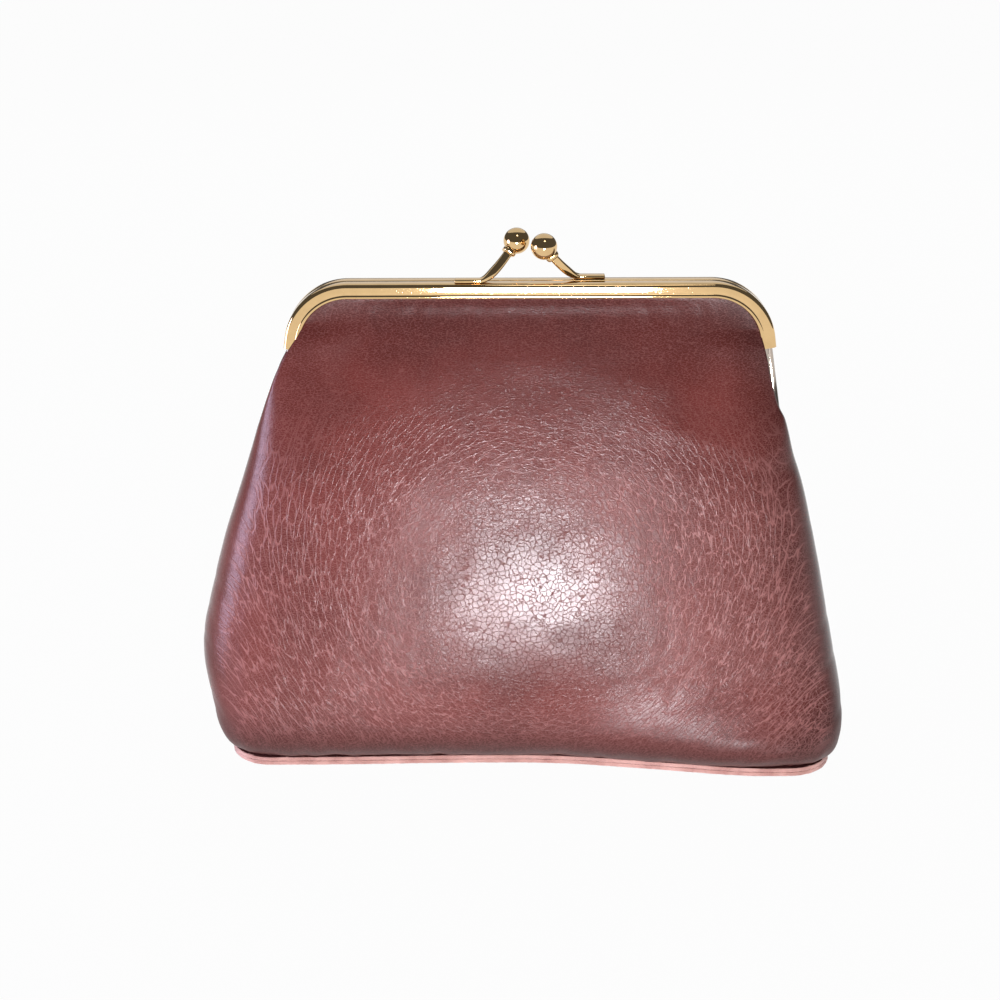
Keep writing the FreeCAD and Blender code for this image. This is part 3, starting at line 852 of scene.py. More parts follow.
def panel_section(z, swell, inset):
    """Points along a panel at one height, from its left edge to its right edge, evenly spaced."""
    seam_x = BASE_HIGH.x - SEAM_EDGE
    seam_y = BASE_HIGH.y - SEAM_EDGE
    middle = seam_y + (through(MIDDLE_DEPTH, z) - seam_y) * swell - inset
    seam_power = 2 * seam_x / SEAM_CORNER
    seam_front = SEAM_CORNER / (2 * seam_y)
    power = seam_power + (through(SIDE_POWER, z) - seam_power) * swell
    front = seam_front + (through(FRONT_POWER, z) - seam_front) * swell
    edge = min(through(EDGE_DEPTH, z) - inset, middle)
    ends = {}
    for side, table in ((-1, LEFT_HEM), (1, RIGHT_HEM)):
        fullness = swell if side < 0 else swell ** RIGHT_FOOT_POWER
        width = seam_x + (half_width(side, z) - seam_x) * fullness - inset
        ends[side] = (width, through(table, z))
    points = []
    for i in range(SECTION_SAMPLES + 1):
        share = -math.cos(math.pi * i / SECTION_SAMPLES)
        width, hem = ends[-1 if share < 0 else 1]
        bulge = (1 - abs(share) ** power) ** front
        depth = edge + (middle - edge) * bulge + hem * smooth(width - HEM_REACH, width, abs(share) * width)
        points.append(Vector((share * width, -depth, z)))
    turned = {}
    for side in (-1, 1):
        width, hem = ends[side]
        near = edge + hem
        end_x, end_y = turned_edge(z, width, near)
        turned[side] = []
        for i in range(1, TURN_COLUMNS + 1):
            t = i / TURN_COLUMNS
            x = width * (1 - t) ** 2 + 2 * width * t * (1 - t) + end_x * t ** 2
            y = near * (1 - t) ** 2 + 2 * end_y * t * (1 - t) + end_y * t ** 2
            turned[side].append(Vector((side * x, -y, z)))
    return turned[-1][::-1] + evenly(points, PANEL_COLUMNS) + turned[1]


def ridge(value):
    """A sharp ridge where a noise crosses zero."""
    return max(1 - abs(value) * RIDGE_SHARPNESS, 0.0) ** 2


# Folds of the front panel: both ends across and up, half width and height
FOLDS = (
    ((66.0, 12.0), (88.0, 24.0), 2.6, 0.55),
    ((72.0, 9.0), (97.0, 15.0), 2.2, 0.4),
    ((88.0, 26.0), (80.0, 62.0), 3.0, 0.28),
    ((-70.0, 14.0), (-60.0, 48.0), 3.4, 0.22),
    ((-84.0, 12.0), (-78.0, 52.0), 2.8, 0.26),
    ((-92.0, 10.0), (-90.0, 40.0), 2.4, 0.3),
    ((20.0, 16.0), (74.0, 26.0), 3.2, 0.25),
    ((40.0, 112.0), (76.0, 100.0), 3.6, 0.3),
)


def fold_height(x, z):
    """Soft raised folds at the corners of the foot and below the frame."""
    total = 0.0
    for (ax, az), (bx, bz), width, height in FOLDS:
        run = Vector((bx - ax, bz - az))
        share = (Vector((x - ax, z - az)).dot(run)) / run.length_squared
        near = Vector((ax, az)) + run * kept(share)
        apart = (Vector((x, z)) - near).length
        ends = smooth(-0.25, 0.25, share) * (1 - smooth(0.75, 1.25, share))
        total += height * math.exp(-(apart / width) ** 2) * ends
    return total


def relief(point, flip):
    """Height of the soft unevenness of the leather at a point of a panel."""
    x, y, z = point
    seed = REAR_SEED if flip else 0.0
    across, up = x - BELLY[0], z - BELLY[1]
    reach = math.hypot(across, up) + abs(y) * DEPTH_SHARE
    heading = math.atan2(up, across)

    def swell(*place):
        return noise.noise(Vector(place))

    broad = swell(x / BROAD_SIZE[0] + seed, z / BROAD_SIZE[1], 1.7) * smooth(*BROAD_FREE, z)
    turn = (math.cos(heading) * CREASE_TURN + seed, math.sin(heading) * CREASE_TURN)
    crease = ridge(swell(reach / CREASE_PITCH, *turn)) * smooth(*CREASE_RING, reach)
    crease *= 1 - smooth(*CREASE_RELIEF_TOP, z)
    small = swell(x / SMALL_SIZE + seed, y / SMALL_SIZE, z / SMALL_SIZE)
    pucker = swell(x / PUCKER_SIZE + seed, y / PUCKER_SIZE, 4.2)
    pucker *= math.exp(-(z - 2 * LEATHER_PLY) / PUCKER_FADE)
    gather = swell(x / GATHER_SIZE[0] + seed, 8.1, z / GATHER_SIZE[1])
    gather *= math.exp(-(LIP_Z - z) / GATHER_FADE)
    height = BROAD_HEIGHT * broad - CREASE_HEIGHT * crease + SMALL_HEIGHT * small
    height += PUCKER_HEIGHT * pucker + GATHER_HEIGHT * gather
    if not flip:
        height += fold_height(x, z)
    height += BELLY_RISE * math.exp(-(across / BELLY_WIDTH) ** 2 - (up / BELLY_HEIGHT) ** 2)
    return height * (1 - smooth(*LIP_CALM, z))


def cut_size(bm, rows, columns):
    """Width, length and area in metres of the flat cut that a panel is made from."""
    bm.verts.ensure_lookup_table()

    def run(indices):
        line = [bm.verts[k].co for k in indices]
        return sum((b - a).length for a, b in zip(line, line[1:]))

    width = max(run(range(r * columns, (r + 1) * columns)) for r in range(len(rows)))
    length = run(range(columns // 2, len(bm.verts), columns))
    return (width * MM, length * MM), sum(face.calc_area() for face in bm.faces) * MM ** 2


def panel_shape(flip, inset):
    """One panel as an open sheet, from the base seam up into the groove of its frame half."""
    rows = panel_rows()
    columns = PANEL_COLUMNS + 1 + 2 * TURN_COLUMNS
    bm = bmesh.new()
    bmesh.ops.create_grid(bm, x_segments=columns - 1, y_segments=len(rows) - 1, size=1.0)
    bm.verts.ensure_lookup_table()
    for r, (z, swell) in enumerate(rows):
        for c, point in enumerate(panel_section(z, swell, inset)):
            point.y = -point.y if flip else point.y + sway(*point)
            bm.verts[r * columns + c].co = point
    face_outward(bm)
    front = max(bm.verts, key=lambda v: abs(v.co.y))
    if front.normal.y * front.co.y < 0:
        bmesh.ops.reverse_faces(bm, faces=bm.faces)
    bm.normal_update()
    return bm, rows, columns


def mark_wear_and_shade(bm, flip):
    """Where the hide is worn, creased and cracked, and where shade is painted on it, kept on its vertices.
    """
    worn, creased, darkened, cracked = [bm.verts.layers.float.new(mark) for mark in WEAR_AND_SHADE_MARKS]
    for v in bm.verts:
        x, y, z = v.co
        reach = math.hypot(x - BELLY[0], z - BELLY[1])
        patch = 0.5 + 0.9 * noise.noise(Vector((x / PATCH_SIZE, y / PATCH_SIZE, z / PATCH_SIZE + 3)))
        patchy = 0.6 + 0.6 * patch
        corner = smooth(*CORNER_START, abs(x) if flip else x) * (1 - smooth(*CORNER_TOP, z))
        foot = 1 - smooth(*FOOT_TOP, z)
        aside = max(smooth(*LEFT_ASIDE, -v.normal.x), smooth(*RIGHT_ASIDE, v.normal.x))
        rise = smooth(*WEAR_START, z) * (1 - aside)
        low = rise * (1 - smooth(*CREASE_TOP, z))
        # Painted shade along the right edge, below the frame and at the foot
        edge = smooth(*SHADE_EDGE, x + SHADE_EDGE_LEAN * z) if x > 0 else 0.0
        v[worn] = kept((0.9 * corner + 0.4 * foot) * rise * patchy)
        v[creased] = kept(smooth(*CREASE_START, reach) * low * patchy)
        v[darkened] = kept(0.95 * (1 - smooth(*SHADE_FOOT, z)) + 0.7 * edge + 0.6 * smooth(*SHADE_TOP, z))
        v[cracked] = 1 - smooth(*CRACK_END, reach)


def build_leather(sizes, half, flip):
    """One leather panel, of its real thickness, with raw suede inside."""
    bm, rows, columns = panel_shape(flip, 0.0)
    shifts = [(v, v.normal * relief(v.co, flip) * sizes.crease_depth) for v in bm.verts]
    for v, shift in shifts:
        v.co += shift
    mark_wear_and_shade(bm, flip)
    flat, area = cut_size(bm, rows, columns)
    panel = new_piece("leather_" + half, bm, ["waxed_leather", "raw_suede"], 180)
    give_wall(panel, sizes.leather, inner_material=1)
    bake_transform(panel)
    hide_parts(half + "_panel_lower", half + "_panel_upper")


def lay_threads(bm, pitch, place):
    """Keeps on the faces where each corner lies in the weave, counted in threads."""
    threads = bm.loops.layers.uv.new("threads")
    for face in bm.faces:
        for loop in face.loops:
            loop[threads].uv = place(loop.vert) / pitch


def build_lining(sizes, half, flip):
    """One woven lining sheet just inside its leather panel."""
    bm, rows, columns = panel_shape(flip, sizes.leather / MM + LINING_GAP)
    bm.verts.index_update()

    def place(vert):
        row, column = divmod(vert.index, columns)
        return Vector((column / columns * CLOTH_WIDTH, row / len(rows) * CLOTH_LENGTH))

    lay_threads(bm, sizes.thread_pitch / MM, place)
    for v in bm.verts:
        limit = outline_x(LINING_INSET - LINING_LIP * smooth(*LINING_LIP_RISE, v.co.z), v.co.z)
        if abs(v.co.x) > limit:
            v.co.x += (math.copysign(limit, v.co.x) - v.co.x) * smooth(*LINING_TUCK_RISE, v.co.z)
        v.co.z = max(v.co.z, LINING_FOOT)
    flat, area = cut_size(bm, rows, columns)
    lining = new_piece("lining_" + half, bm, ["woven_lining"], 180)
    give_wall(lining, sizes.lining)
    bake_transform(lining)
    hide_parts(half + "_lining_lower", half + "_lining_upper")


# Base seam edge


def base_point(share, inset):
    """A point round the base outline, moved inward by an inset, and the way outward there."""
    radius = BASE_CORNER - min(inset, BASE_CORNER - 0.5)
    corner_x = BASE_HIGH.x - inset - radius
    corner_y = BASE_HIGH.y - inset - radius
    arc = math.pi / 2 * BASE_CORNER
    runs = []
    for k in range(4):
        runs += [2 * (BASE_HIGH.y if k % 2 == 0 else BASE_HIGH.x) - 2 * BASE_CORNER, arc]
    want = share * sum(runs)
    for k, run in enumerate(runs):
        if want <= run or k == len(runs) - 1:
            break
        want -= run
    quarter = k // 2
    part = min(want / run, 1.0)
    turn = Matrix.Rotation(math.pi / 2 * quarter, 2)
    long, wide = (corner_x, corner_y) if quarter % 2 == 0 else (corner_y, corner_x)
    if k % 2 == 0:
        place = Vector((long + radius, -wide + 2 * wide * part))
        out = Vector((1, 0))
    else:
        angle = math.pi / 2 * part
        out = Vector((math.cos(angle), math.sin(angle)))
        place = Vector((long, wide)) + out * radius
    return turn @ place, turn @ out


def base_ring(bm, edges, inset, z, fuzz, seed):
    """One loop round the base: the first is a circle's, the next are drawn from the last."""
    index = bm.verts.layers.int.get("round") or bm.verts.layers.int.new("round")
    if edges is None:
        verts = bmesh.ops.create_circle(bm, segments=BASE_POINTS, radius=1.0)["verts"]
        loop = edges_at(verts)
        for i, v in enumerate(verts):
            v[index] = i
    else:
        loop = drawn_out(bm, edges, Matrix.Identity(4))
        verts = ends_of(loop)
    for v in verts:
        place, out = base_point(v[index] / BASE_POINTS, inset)
        rough = noise.noise(Vector((place.x * FINE_FRAY, place.y * FINE_FRAY, z * 2 + seed)))
        broad = noise.noise(Vector((place.x * BROAD_FRAY, place.y * BROAD_FRAY, seed + 9)))
        rough += BROAD_FRAY_SHARE * broad
        place = place + out * (rough * fuzz)
        v.co = Vector((place.x, place.y + sway(place.x, place.y, 0), z))
    return loop


def edge_rows(low, high, fuzz):
    """Insets, heights and roughness of the rows round a cut edge, from the top to the underside."""
    upper = [
        (EDGE_INNER, 0.0, 0.0),
        (PLY_ROUND * 3, 0.0, 0.0),
        (PLY_ROUND, 0.0, fuzz * 0.4),
        (PLY_STEP * 0.6, PLY_STEP, fuzz),
        (0.0, 2.6 * PLY_STEP, fuzz),
    ]
    rows = [(inset, high - drop, rough) for inset, drop, rough in upper]
    rows.append((0.02, (low + high) / 2, fuzz))
    return rows + [(inset, low + drop, rough) for inset, drop, rough in upper[::-1]]


def build_edge(sizes, name, low, high, seed, filled):
    """A ply of hide round the base: grain outside, raw suede round its cut edge."""
    bm = bmesh.new()
    fuzz = sizes.edge_fuzz / MM
    loop = None
    first = None
    for inset, z, rough in edge_rows(low, high, fuzz):
        loop = base_ring(bm, loop, inset, z, rough, seed)
        first = first or loop
    if filled:
        bmesh.ops.edgeloop_fill(bm, edges=first)
        bmesh.ops.edgeloop_fill(bm, edges=loop)
    else:
        bmesh.ops.bridge_loops(bm, edges=first + loop)
    face_outward(bm)
    for face in bm.faces:
        rim = abs(face.normal.z) < RIM_SLOPE or face.calc_area() < RIM_AREA
        face.material_index = 1 if rim else 0
    # Wear marks and painted shade on the plies
    for mark, value in zip(WEAR_AND_SHADE_MARKS, PLY_WEAR_AND_SHADE):
        layer = bm.verts.layers.float.new(mark)
        for v in bm.verts:
            v[layer] = value
    return new_piece(name, bm, ["waxed_leather", "raw_suede"])


def build_base_lining(sizes):
    """Woven sheet that covers the board on the floor of the purse."""
    bm = bmesh.new()
    low, high = (corner.z for corner in node_box("base_lining"))
    ring = base_ring(bm, None, BOARD_EDGE, low, 0.0, 0.0)
    upper = base_ring(bm, ring, BOARD_EDGE, high, 0.0, 0.0)
    for loop in (ring, upper):
        bmesh.ops.edgeloop_fill(bm, edges=loop)
    face_outward(bm)
    lay_threads(bm, sizes.thread_pitch / MM, lambda vert: vert.co.xy)
    top = max(bm.faces, key=lambda face: face.calc_center_median().z)
    area = top.calc_area() * MM ** 2
    lining = new_piece("lining_floor", bm, ["woven_lining"])
    settle(lining, "bag", "lining", "base_lining")


def build_stitches():
    """Lock stitches round the seam edge, one short thread after another."""
    bm = bmesh.new()
    length = 2 * (BASE_HIGH.x * 2 + BASE_HIGH.y * 2) - 8 * BASE_CORNER + TURN * BASE_CORNER
    count = round(length / STITCH_PITCH)
    for i in range(count):
        place, out = base_point((i + 0.5) / count, STITCH_INSET)
        y = place.y + sway(place.x, place.y, 0)
        heading = math.atan2(out.x, -out.y)
        for z in (2 * LEATHER_PLY + STITCH_THICKNESS * 0.1, STITCH_THICKNESS * 0.5):
            shape = Matrix.Translation((place.x, y, z))
            shape @= Matrix.Rotation(heading + STITCH_TURN, 4, "Z")
            shape @= Matrix.Diagonal((STITCH_LENGTH / 2, STITCH_THICKNESS / 2, STITCH_THICKNESS / 2, 1))
            bmesh.ops.create_uvsphere(bm, u_segments=8, v_segments=6, radius=1.0, matrix=shape)
    return new_piece("base_stitches", bm, ["sewing_thread"], 180)


# Metal


def channel_profile(bm):
    """The channel's section at the foot of the left leg, as one face with rounded corners."""
    foot = Vector((-outline_x(0, CHANNEL_END), 0, CHANNEL_END))
    inward = Vector((math.cos(LEG_FLARE), 0, -math.sin(LEG_FLARE)))
    bead_front = CHANNEL_FRONT - BEAD_REACH
    bead_top = CHANNEL_HEIGHT - BEAD_HEIGHT
    corners = [
        (0, CHANNEL_REAR, INNER_ROUND),
        (CHANNEL_HEIGHT, CHANNEL_REAR, CHANNEL_WALL * 0.45),
        (CHANNEL_HEIGHT, GROOVE_REAR, CHANNEL_WALL * 0.45),
        (CHANNEL_WALL, GROOVE_REAR, 0.0),
        (CHANNEL_WALL, GROOVE_FRONT, OUTER_ROUND - CHANNEL_WALL),
        (CHANNEL_HEIGHT, GROOVE_FRONT, BEAD_ROUND),
        (CHANNEL_HEIGHT, bead_front, BEAD_ROUND),
        (bead_top, bead_front, BEAD_ROUND),
        (bead_top - BEAD_REACH, CHANNEL_FRONT, BEAD_REACH * 0.8),
        (0, CHANNEL_FRONT, OUTER_ROUND),
    ]
    verts = [bm.verts.new(foot + inward * n + Vector((0, y, 0))) for n, y, _ in corners]
    bm.faces.new(verts)
    for vert, (_, _, radius) in zip(verts, corners):
        if radius:
            rounded(bm, [vert], radius, "VERTICES", ROUND_SEGMENTS)


def build_channel(half):
    """One half of the frame: the section drawn up the leg, round both corners and down again."""
    bm = bmesh.new()
    channel_profile(bm)
    run = outline_x(0, CHANNEL_END) - CORNER_X - FRAME_CORNER * math.cos(LEG_FLARE)
    leg_height = run / math.tan(LEG_FLARE)
    bend = math.pi / 2 - LEG_FLARE
    axis = Vector((0, 1, 0))
    loop = drawn_out(bm, list(bm.edges), Matrix.Translation((run, 0, leg_height)))
    loop = swung(bm, loop, Vector((-CORNER_X, 0, CORNER_Z)), axis, bend, CORNER_STEPS)
    for _ in range(TOP_STEPS):
        loop = drawn_out(bm, loop, Matrix.Translation((2 * CORNER_X / TOP_STEPS, 0, 0)))
    loop = swung(bm, loop, Vector((CORNER_X, 0, CORNER_Z)), axis, bend, CORNER_STEPS)
    loop = drawn_out(bm, loop, Matrix.Translation((run, 0, -leg_height)))
    bmesh.ops.edgeloop_fill(bm, edges=loop)
    tidied(bm)
    if half == "rear":
        mirrored(bm, 1)
    return new_piece(half + "_channel", bm, ["polished_gold"], 30)


def build_leg(half, side):
    """A hinge leg: a pierced lug that runs up into a flat bar, seated in the channel."""
    outer = half == "rear"
    inset = BAR_OUTER_INSET if outer else BAR_INNER_INSET
    bm = bmesh.new()
    hole = bmesh.ops.create_circle(bm, segments=LUG_SEGMENTS, radius=RIVET_HOLE)["verts"]
    rim = bmesh.ops.create_circle(bm, segments=LUG_SEGMENTS, radius=LUG_RADIUS)["verts"]
    rings = [edges_at(hole), edges_at(rim)]
    bmesh.ops.bridge_loops(bm, edges=rings[0] + rings[1])

    def bearing(edge):
        middle = (edge.verts[0].co + edge.verts[1].co) / 2
        return math.degrees(math.atan2(middle.y, middle.x))

    top = [e for e in rings[1] if LUG_TOP_FROM < bearing(e) < LUG_TOP_TO]
    bar_front = GROOVE_FRONT + BAR_CLEARANCE
    bar_rear = GROOVE_REAR - BAR_CLEARANCE
    arc = ends_of(top)
    front_end = min(v.co.x for v in arc)
    rear_end = max(v.co.x for v in arc)
    levels = [(LUG_RADIUS * 1.5, 0.55), (LUG_RADIUS * 2.2, 1.0), (CHANNEL_END - HINGE_Z, 1.0),
              (CHANNEL_END + BAR_SEAT - HINGE_Z, 1.0)]
    starts = {}
    for level, share in levels:
        new = bmesh.ops.extrude_edge_only(bm, edges=top)["geom"]
        fresh = verts_of(new)
        for v in fresh:
            key = starts.get(round(v.co.x, 4), v.co.x)
            part = (key - front_end) / (rear_end - front_end)
            x = key + (bar_front + (bar_rear - bar_front) * part - key) * share
            starts[round(x, 4)] = key
            v.co = Vector((x, level, 0))
        top = [edge for edge in edges_of(new) if set(fresh).issuperset(edge.verts)]
    tidied(bm)
    faces = list(bm.faces)
    grown = bmesh.ops.extrude_face_region(bm, geom=faces)["geom"]
    bmesh.ops.translate(bm, vec=(0, 0, BAR_THICKNESS), verts=verts_of(grown))
    face_outward(bm)
    rims = [e for e in bm.edges if len(e.link_faces) == 2 and e.calc_face_angle() > SHARP_RIM]
    rounded(bm, rims, LUG_BEVEL, "EDGES", 3)
    for v in bm.verts:
        y, up, out = v.co
        z = HINGE_Z + up
        lean = smooth(HINGE_Z + LUG_RADIUS, HINGE_Z + 4 * LUG_RADIUS, z)
        x = outline_x(inset, HINGE_Z) * (1 - lean) + outline_x(inset, z) * lean
        v.co = Vector((x - BAR_THICKNESS + out, y, z))
    if outer:
        mirrored(bm, 1)
    if side == "left":
        mirrored(bm, 0)
    face_outward(bm)
    return new_piece(half + "_leg_" + side, bm, ["pale_steel"], 35)


def build_rivet(side):
    """A rivet: domed head outside, shank through both lugs and an upset tail inside."""
    outside = RIVET_HIGH.x - RIVET_HEAD_HEIGHT
    inside = RIVET_LOW.x + RIVET_TAIL_HEIGHT
    dome = (RIVET_HEAD_RADIUS ** 2 + RIVET_HEAD_HEIGHT ** 2) / (2 * RIVET_HEAD_HEIGHT)
    centre = RIVET_HIGH.x - dome
    widest = math.asin(RIVET_HEAD_RADIUS / dome)
    angles = [widest * i / DOME_STEPS for i in range(DOME_STEPS + 1)]
    profile = [(centre + dome * math.cos(angle), dome * math.sin(angle)) for angle in angles]
    profile += [
        (outside, RIVET_HEAD_RADIUS * 0.94),
        (outside, RIVET_RADIUS),
        (inside, RIVET_RADIUS),
        (inside, RIVET_TAIL_RADIUS * 0.9),
        (inside - RIVET_TAIL_HEIGHT * 0.3, RIVET_TAIL_RADIUS),
        (inside - RIVET_TAIL_HEIGHT * 0.7, RIVET_TAIL_RADIUS * 0.96),
        (RIVET_LOW.x, RIVET_TAIL_RADIUS * 0.7),
        (RIVET_LOW.x, 0.0),
    ]
    points = [(x, radius, HINGE_Z) for x, radius in profile]
    bm = lathed(points, (0, 0, HINGE_Z), (1, 0, 0), RIVET_SEGMENTS)
    if side == "left":
        mirrored(bm, 0)
    return new_piece("rivet_" + side, bm, ["pale_steel"], 35)


def arm_rise():
    """Unit direction of the arm into the ball, and the foot of the arm on the tab."""
    foot = Vector((-ARM_START, HALF_MIDDLE, FRAME_TOP + TAB_THICKNESS / 2))
    return (BALL_CENTRE - foot).normalized(), foot


def arm_stations():
    """Centre, directions and half sizes of the arm's section, from the tab's end to the ball."""
    rise, foot = arm_rise()
    along = Vector((1, 0, 0))
    start = foot - along * TAB_HALF_DEPTH * 2
    tip = BALL_CENTRE - rise * (BALL_RADIUS + COLLAR_LENGTH * 0.5)
    flat = (TAB_HALF_DEPTH, TAB_THICKNESS / 2)
    tab_y = Vector((0, 1, 0))
    tab_up = Vector((0, 0, 1))
    end = Vector((TAB_END, foot.y, foot.z))
    nose = 0.25
    stations = [(end, tab_y, tab_up, flat[0] - nose, flat[1] - nose)]
    for i in range(1, 4):
        ease = math.sin(math.pi / 2 * i / 3)
        stations.append((end + along * nose * (1 - math.cos(math.pi / 2 * i / 3)), tab_y, tab_up,
                         flat[0] - nose * (1 - ease), flat[1] - nose * (1 - ease)))
    stations.append((start, tab_y, tab_up) + flat)
    for i in range(1, ARM_STEPS + 1):
        t = i / ARM_STEPS
        place = start * (1 - t) ** 2 + foot * (2 * t * (1 - t)) + tip * t ** 2
        forward = (along * (1 - t) + rise * t).normalized()
        side = (tab_y - forward * forward.y).normalized()
        over = forward.cross(side)
        ease = smooth(0.0, 0.6, t)
        thin = ARM_RADIUS + (ARM_TIP_RADIUS - ARM_RADIUS) * t
        wide = flat[0] + (thin - flat[0]) * ease
        thick = flat[1] + (thin - flat[1]) * ease
        stations.append((place, side, over, wide, thick))
    side = (tab_y - rise * rise.y).normalized()
    over = rise.cross(side)
    low = BALL_CENTRE - rise * (BALL_RADIUS + COLLAR_LENGTH * 0.85)
    for step, radius in ((0.0, ARM_TIP_RADIUS), (0.12, COLLAR_FOOT_RADIUS), (0.3, COLLAR_RADIUS * 0.96),
                         (0.6, COLLAR_RADIUS), (1.1, COLLAR_RADIUS), (1.4, COLLAR_RADIUS * 0.92),
                         (1.6, COLLAR_RADIUS * 0.6)):
        stations.append((low + rise * COLLAR_LENGTH * step, side, over, radius, radius))
    return stations


def build_arm(half):
    """Tab and arm of the kiss lock in one stamped piece, with a collar below the ball."""
    bm = bmesh.new()
    verts = [bm.verts.new(corner) for corner in ((1, 1, 0), (-1, 1, 0), (-1, -1, 0), (1, -1, 0))]
    bm.faces.new(verts)
    rounded(bm, verts, ARM_ROUND, "VERTICES", ARM_ROUND_SEGMENTS)
    loop = list(bm.edges)
    last = Matrix.Identity(4)
    for number, (place, side, over, wide, thick) in enumerate(arm_stations()):
        forward = side.cross(over)
        now = Matrix((side * wide, over * thick, forward)).transposed().to_4x4()
        now.translation = place
        if number == 0:
            bmesh.ops.transform(bm, matrix=now, verts=bm.verts)
        else:
            loop = drawn_out(bm, loop, now @ last.inverted())
        last = now
    bmesh.ops.edgeloop_fill(bm, edges=loop)
    tidied(bm)
    if half == "rear":
        turned_round(bm)
    return new_piece(half + "_kiss_arm", bm, ["polished_gold"], 50)


def build_ball(half):
    """A turned ball with a short neck that sits in the arm's collar."""
    rise, _ = arm_rise()
    neck = math.asin(COLLAR_RADIUS * 0.8 / BALL_RADIUS)
    angles = [(math.pi - neck) * i / BALL_STEPS for i in range(BALL_STEPS + 1)]
    arc = [(BALL_RADIUS * math.sin(angle), BALL_RADIUS * math.cos(angle)) for angle in angles]
    foot = arc[-1][1] - COLLAR_LENGTH * 0.3
    profile = arc + [(arc[-1][0] * 0.96, foot), (0.0, foot)]
    bm = lathed([(x, 0, z) for x, z in profile], (0, 0, 0), (0, 0, 1), BALL_SEGMENTS)
    lean = Vector((0, 0, 1)).rotation_difference(rise).to_matrix().to_4x4()
    bmesh.ops.transform(bm, matrix=Matrix.Translation(BALL_CENTRE) @ lean, verts=bm.verts)
    if half == "rear":
        turned_round(bm)
    return new_piece(half + "_kiss_ball", bm, ["polished_gold"], 50)


# What a user may change


def number_property(name, description, default, lowest=0.0, **kinds):
    """A number with its name, default and lowest value."""
    return bpy.props.FloatProperty(name=name, description=description, default=default, min=lowest, **kinds)


def length_property(name, description, default):
    """A length in metres with its name and default."""
    return number_property(name, description, default, unit="LENGTH")


def colour_property(name, description, default):
    """A colour with its name and default."""
    return bpy.props.FloatVectorProperty(name=name, description=description, default=default, min=0.0,
                                         max=1.0, subtype="COLOR")


class PurseSizes(bpy.types.PropertyGroup):
    """Sizes of the soft pieces"""

    leather: length_property("Leather", "Thickness of the leather", 1.4 * MM)
    lining: length_property("Lining", "Thickness of the lining", 0.4 * MM)
    thread_pitch: length_property("Thread pitch", "Distance between the lining's threads", 0.42 * MM)
    edge_fuzz: length_property("Edge fuzz", "How far the raw edges fray", 0.16 * MM)
    bend_low: length_property("Bend from", "Height above which the leather turns with the frame", 85 * MM)
    bend_high: length_property("Bend to", "Height above which the leather keeps to the frame", 112 * MM)
    crease_depth: number_property("Creases", "How strongly the leather is creased", 1.0, max=2.0,
                                  subtype="FACTOR")


class PurseColours(bpy.types.PropertyGroup):
    """Colours of the purse"""

    leather: colour_property("Leather", "Dyed grain side of the hide", (0.160, 0.032, 0.026))
    # The deeper tone of the hide, also used for painted shade
    leather_dark_and_shade: colour_property("Leather, dark", "Deeper tone of the hide", (0.056, 0.0125, 0.0105))
    leather_line: colour_property("Leather, worn", "Paler lines in the wax", (0.45, 0.195, 0.18))
    raw_edge: colour_property("Raw edge", "Cut edges and flesh side", (0.84, 0.47, 0.40))
    raw_edge_dark: colour_property("Raw edge, dark", "Shaded fibres of the cut edges", (0.50, 0.21, 0.17))
    raw_edge_pale: colour_property("Raw edge, pale", "Loose fibres of the cut edges", (0.86, 0.58, 0.51))
    lining: colour_property("Lining", "Woven lining", (0.20, 0.115, 0.080))
    lining_dark: colour_property("Lining, dark", "Deeper threads of the lining", (0.12, 0.065, 0.045))
    gold: colour_property("Gold", "Plating of the frame and the lock", (0.76, 0.52, 0.26))
    gold_tarnish: colour_property("Gold, dull", "Hazy parts of the plating", (0.58, 0.39, 0.19))
    steel: colour_property("Steel", "Hinge legs and rivets", (0.50, 0.43, 0.37))
    steel_tarnish: colour_property("Steel, dull", "Hazy parts of the hinge legs", (0.36, 0.31, 0.26))
    board: colour_property("Board", "Stiffening board in the base", (0.40, 0.35, 0.28))
    board_dark: colour_property("Board, dark", "Flecks in the board", (0.26, 0.22, 0.17))
    paper: colour_property("Paper", "Paper cord in the channel", (0.60, 0.50, 0.36))
    # Flecks of the paper, also used for painted shade in the grooves of the twist
    paper_dark_and_shade: colour_property("Paper, dark", "Folds of the paper cord", (0.36, 0.28, 0.19))
    thread: colour_property("Thread", "Sewing thread of the base seam", (0.24, 0.075, 0.065))
    thread_dark: colour_property("Thread, dark", "Shaded side of the thread", (0.12, 0.035, 0.03))
    floor: colour_property("Floor", "Pale floor", (0.62, 0.62, 0.62))


class PurseStage(bpy.types.PropertyGroup):
    """Light and view"""

    front_power: number_property("Front lamp", "Power of the front lamp", 6.2, unit="POWER")
    side_power: number_property("Side lamp", "Power of the lamp on the left", 2.6, unit="POWER")
    top_power: number_property("Top lamp", "Power of the lamp above", 0.6, unit="POWER")
    back_power: number_property("Back lamp", "Power of the lamp behind", 6.5, unit="POWER")
    sky: number_property("Surroundings", "Strength of the light all round", 0.10, subtype="FACTOR")
    lens: number_property("Lens", "Focal length in millimetres", 58.4, lowest=1.0)
    pitch: bpy.props.FloatProperty(name="Pitch", description="How far the camera looks down",
                                   default=math.radians(22.16), subtype="ANGLE")
    roll: bpy.props.FloatProperty(name="Roll", description="How far the camera leans", subtype="ANGLE",
                                  default=math.radians(-0.18))


# Operators, one for each piece or group of like pieces


class PURSE_OT_leather(bpy.types.Operator):
    """Front and rear leather panels"""

    bl_idname = "purse.leather"
    bl_label = "Leather panels"

    def execute(self, context):
        sizes = context.scene.purse_sizes
        for half in ("front", "rear"):
            build_leather(sizes, half, half == "rear")
        return {"FINISHED"}


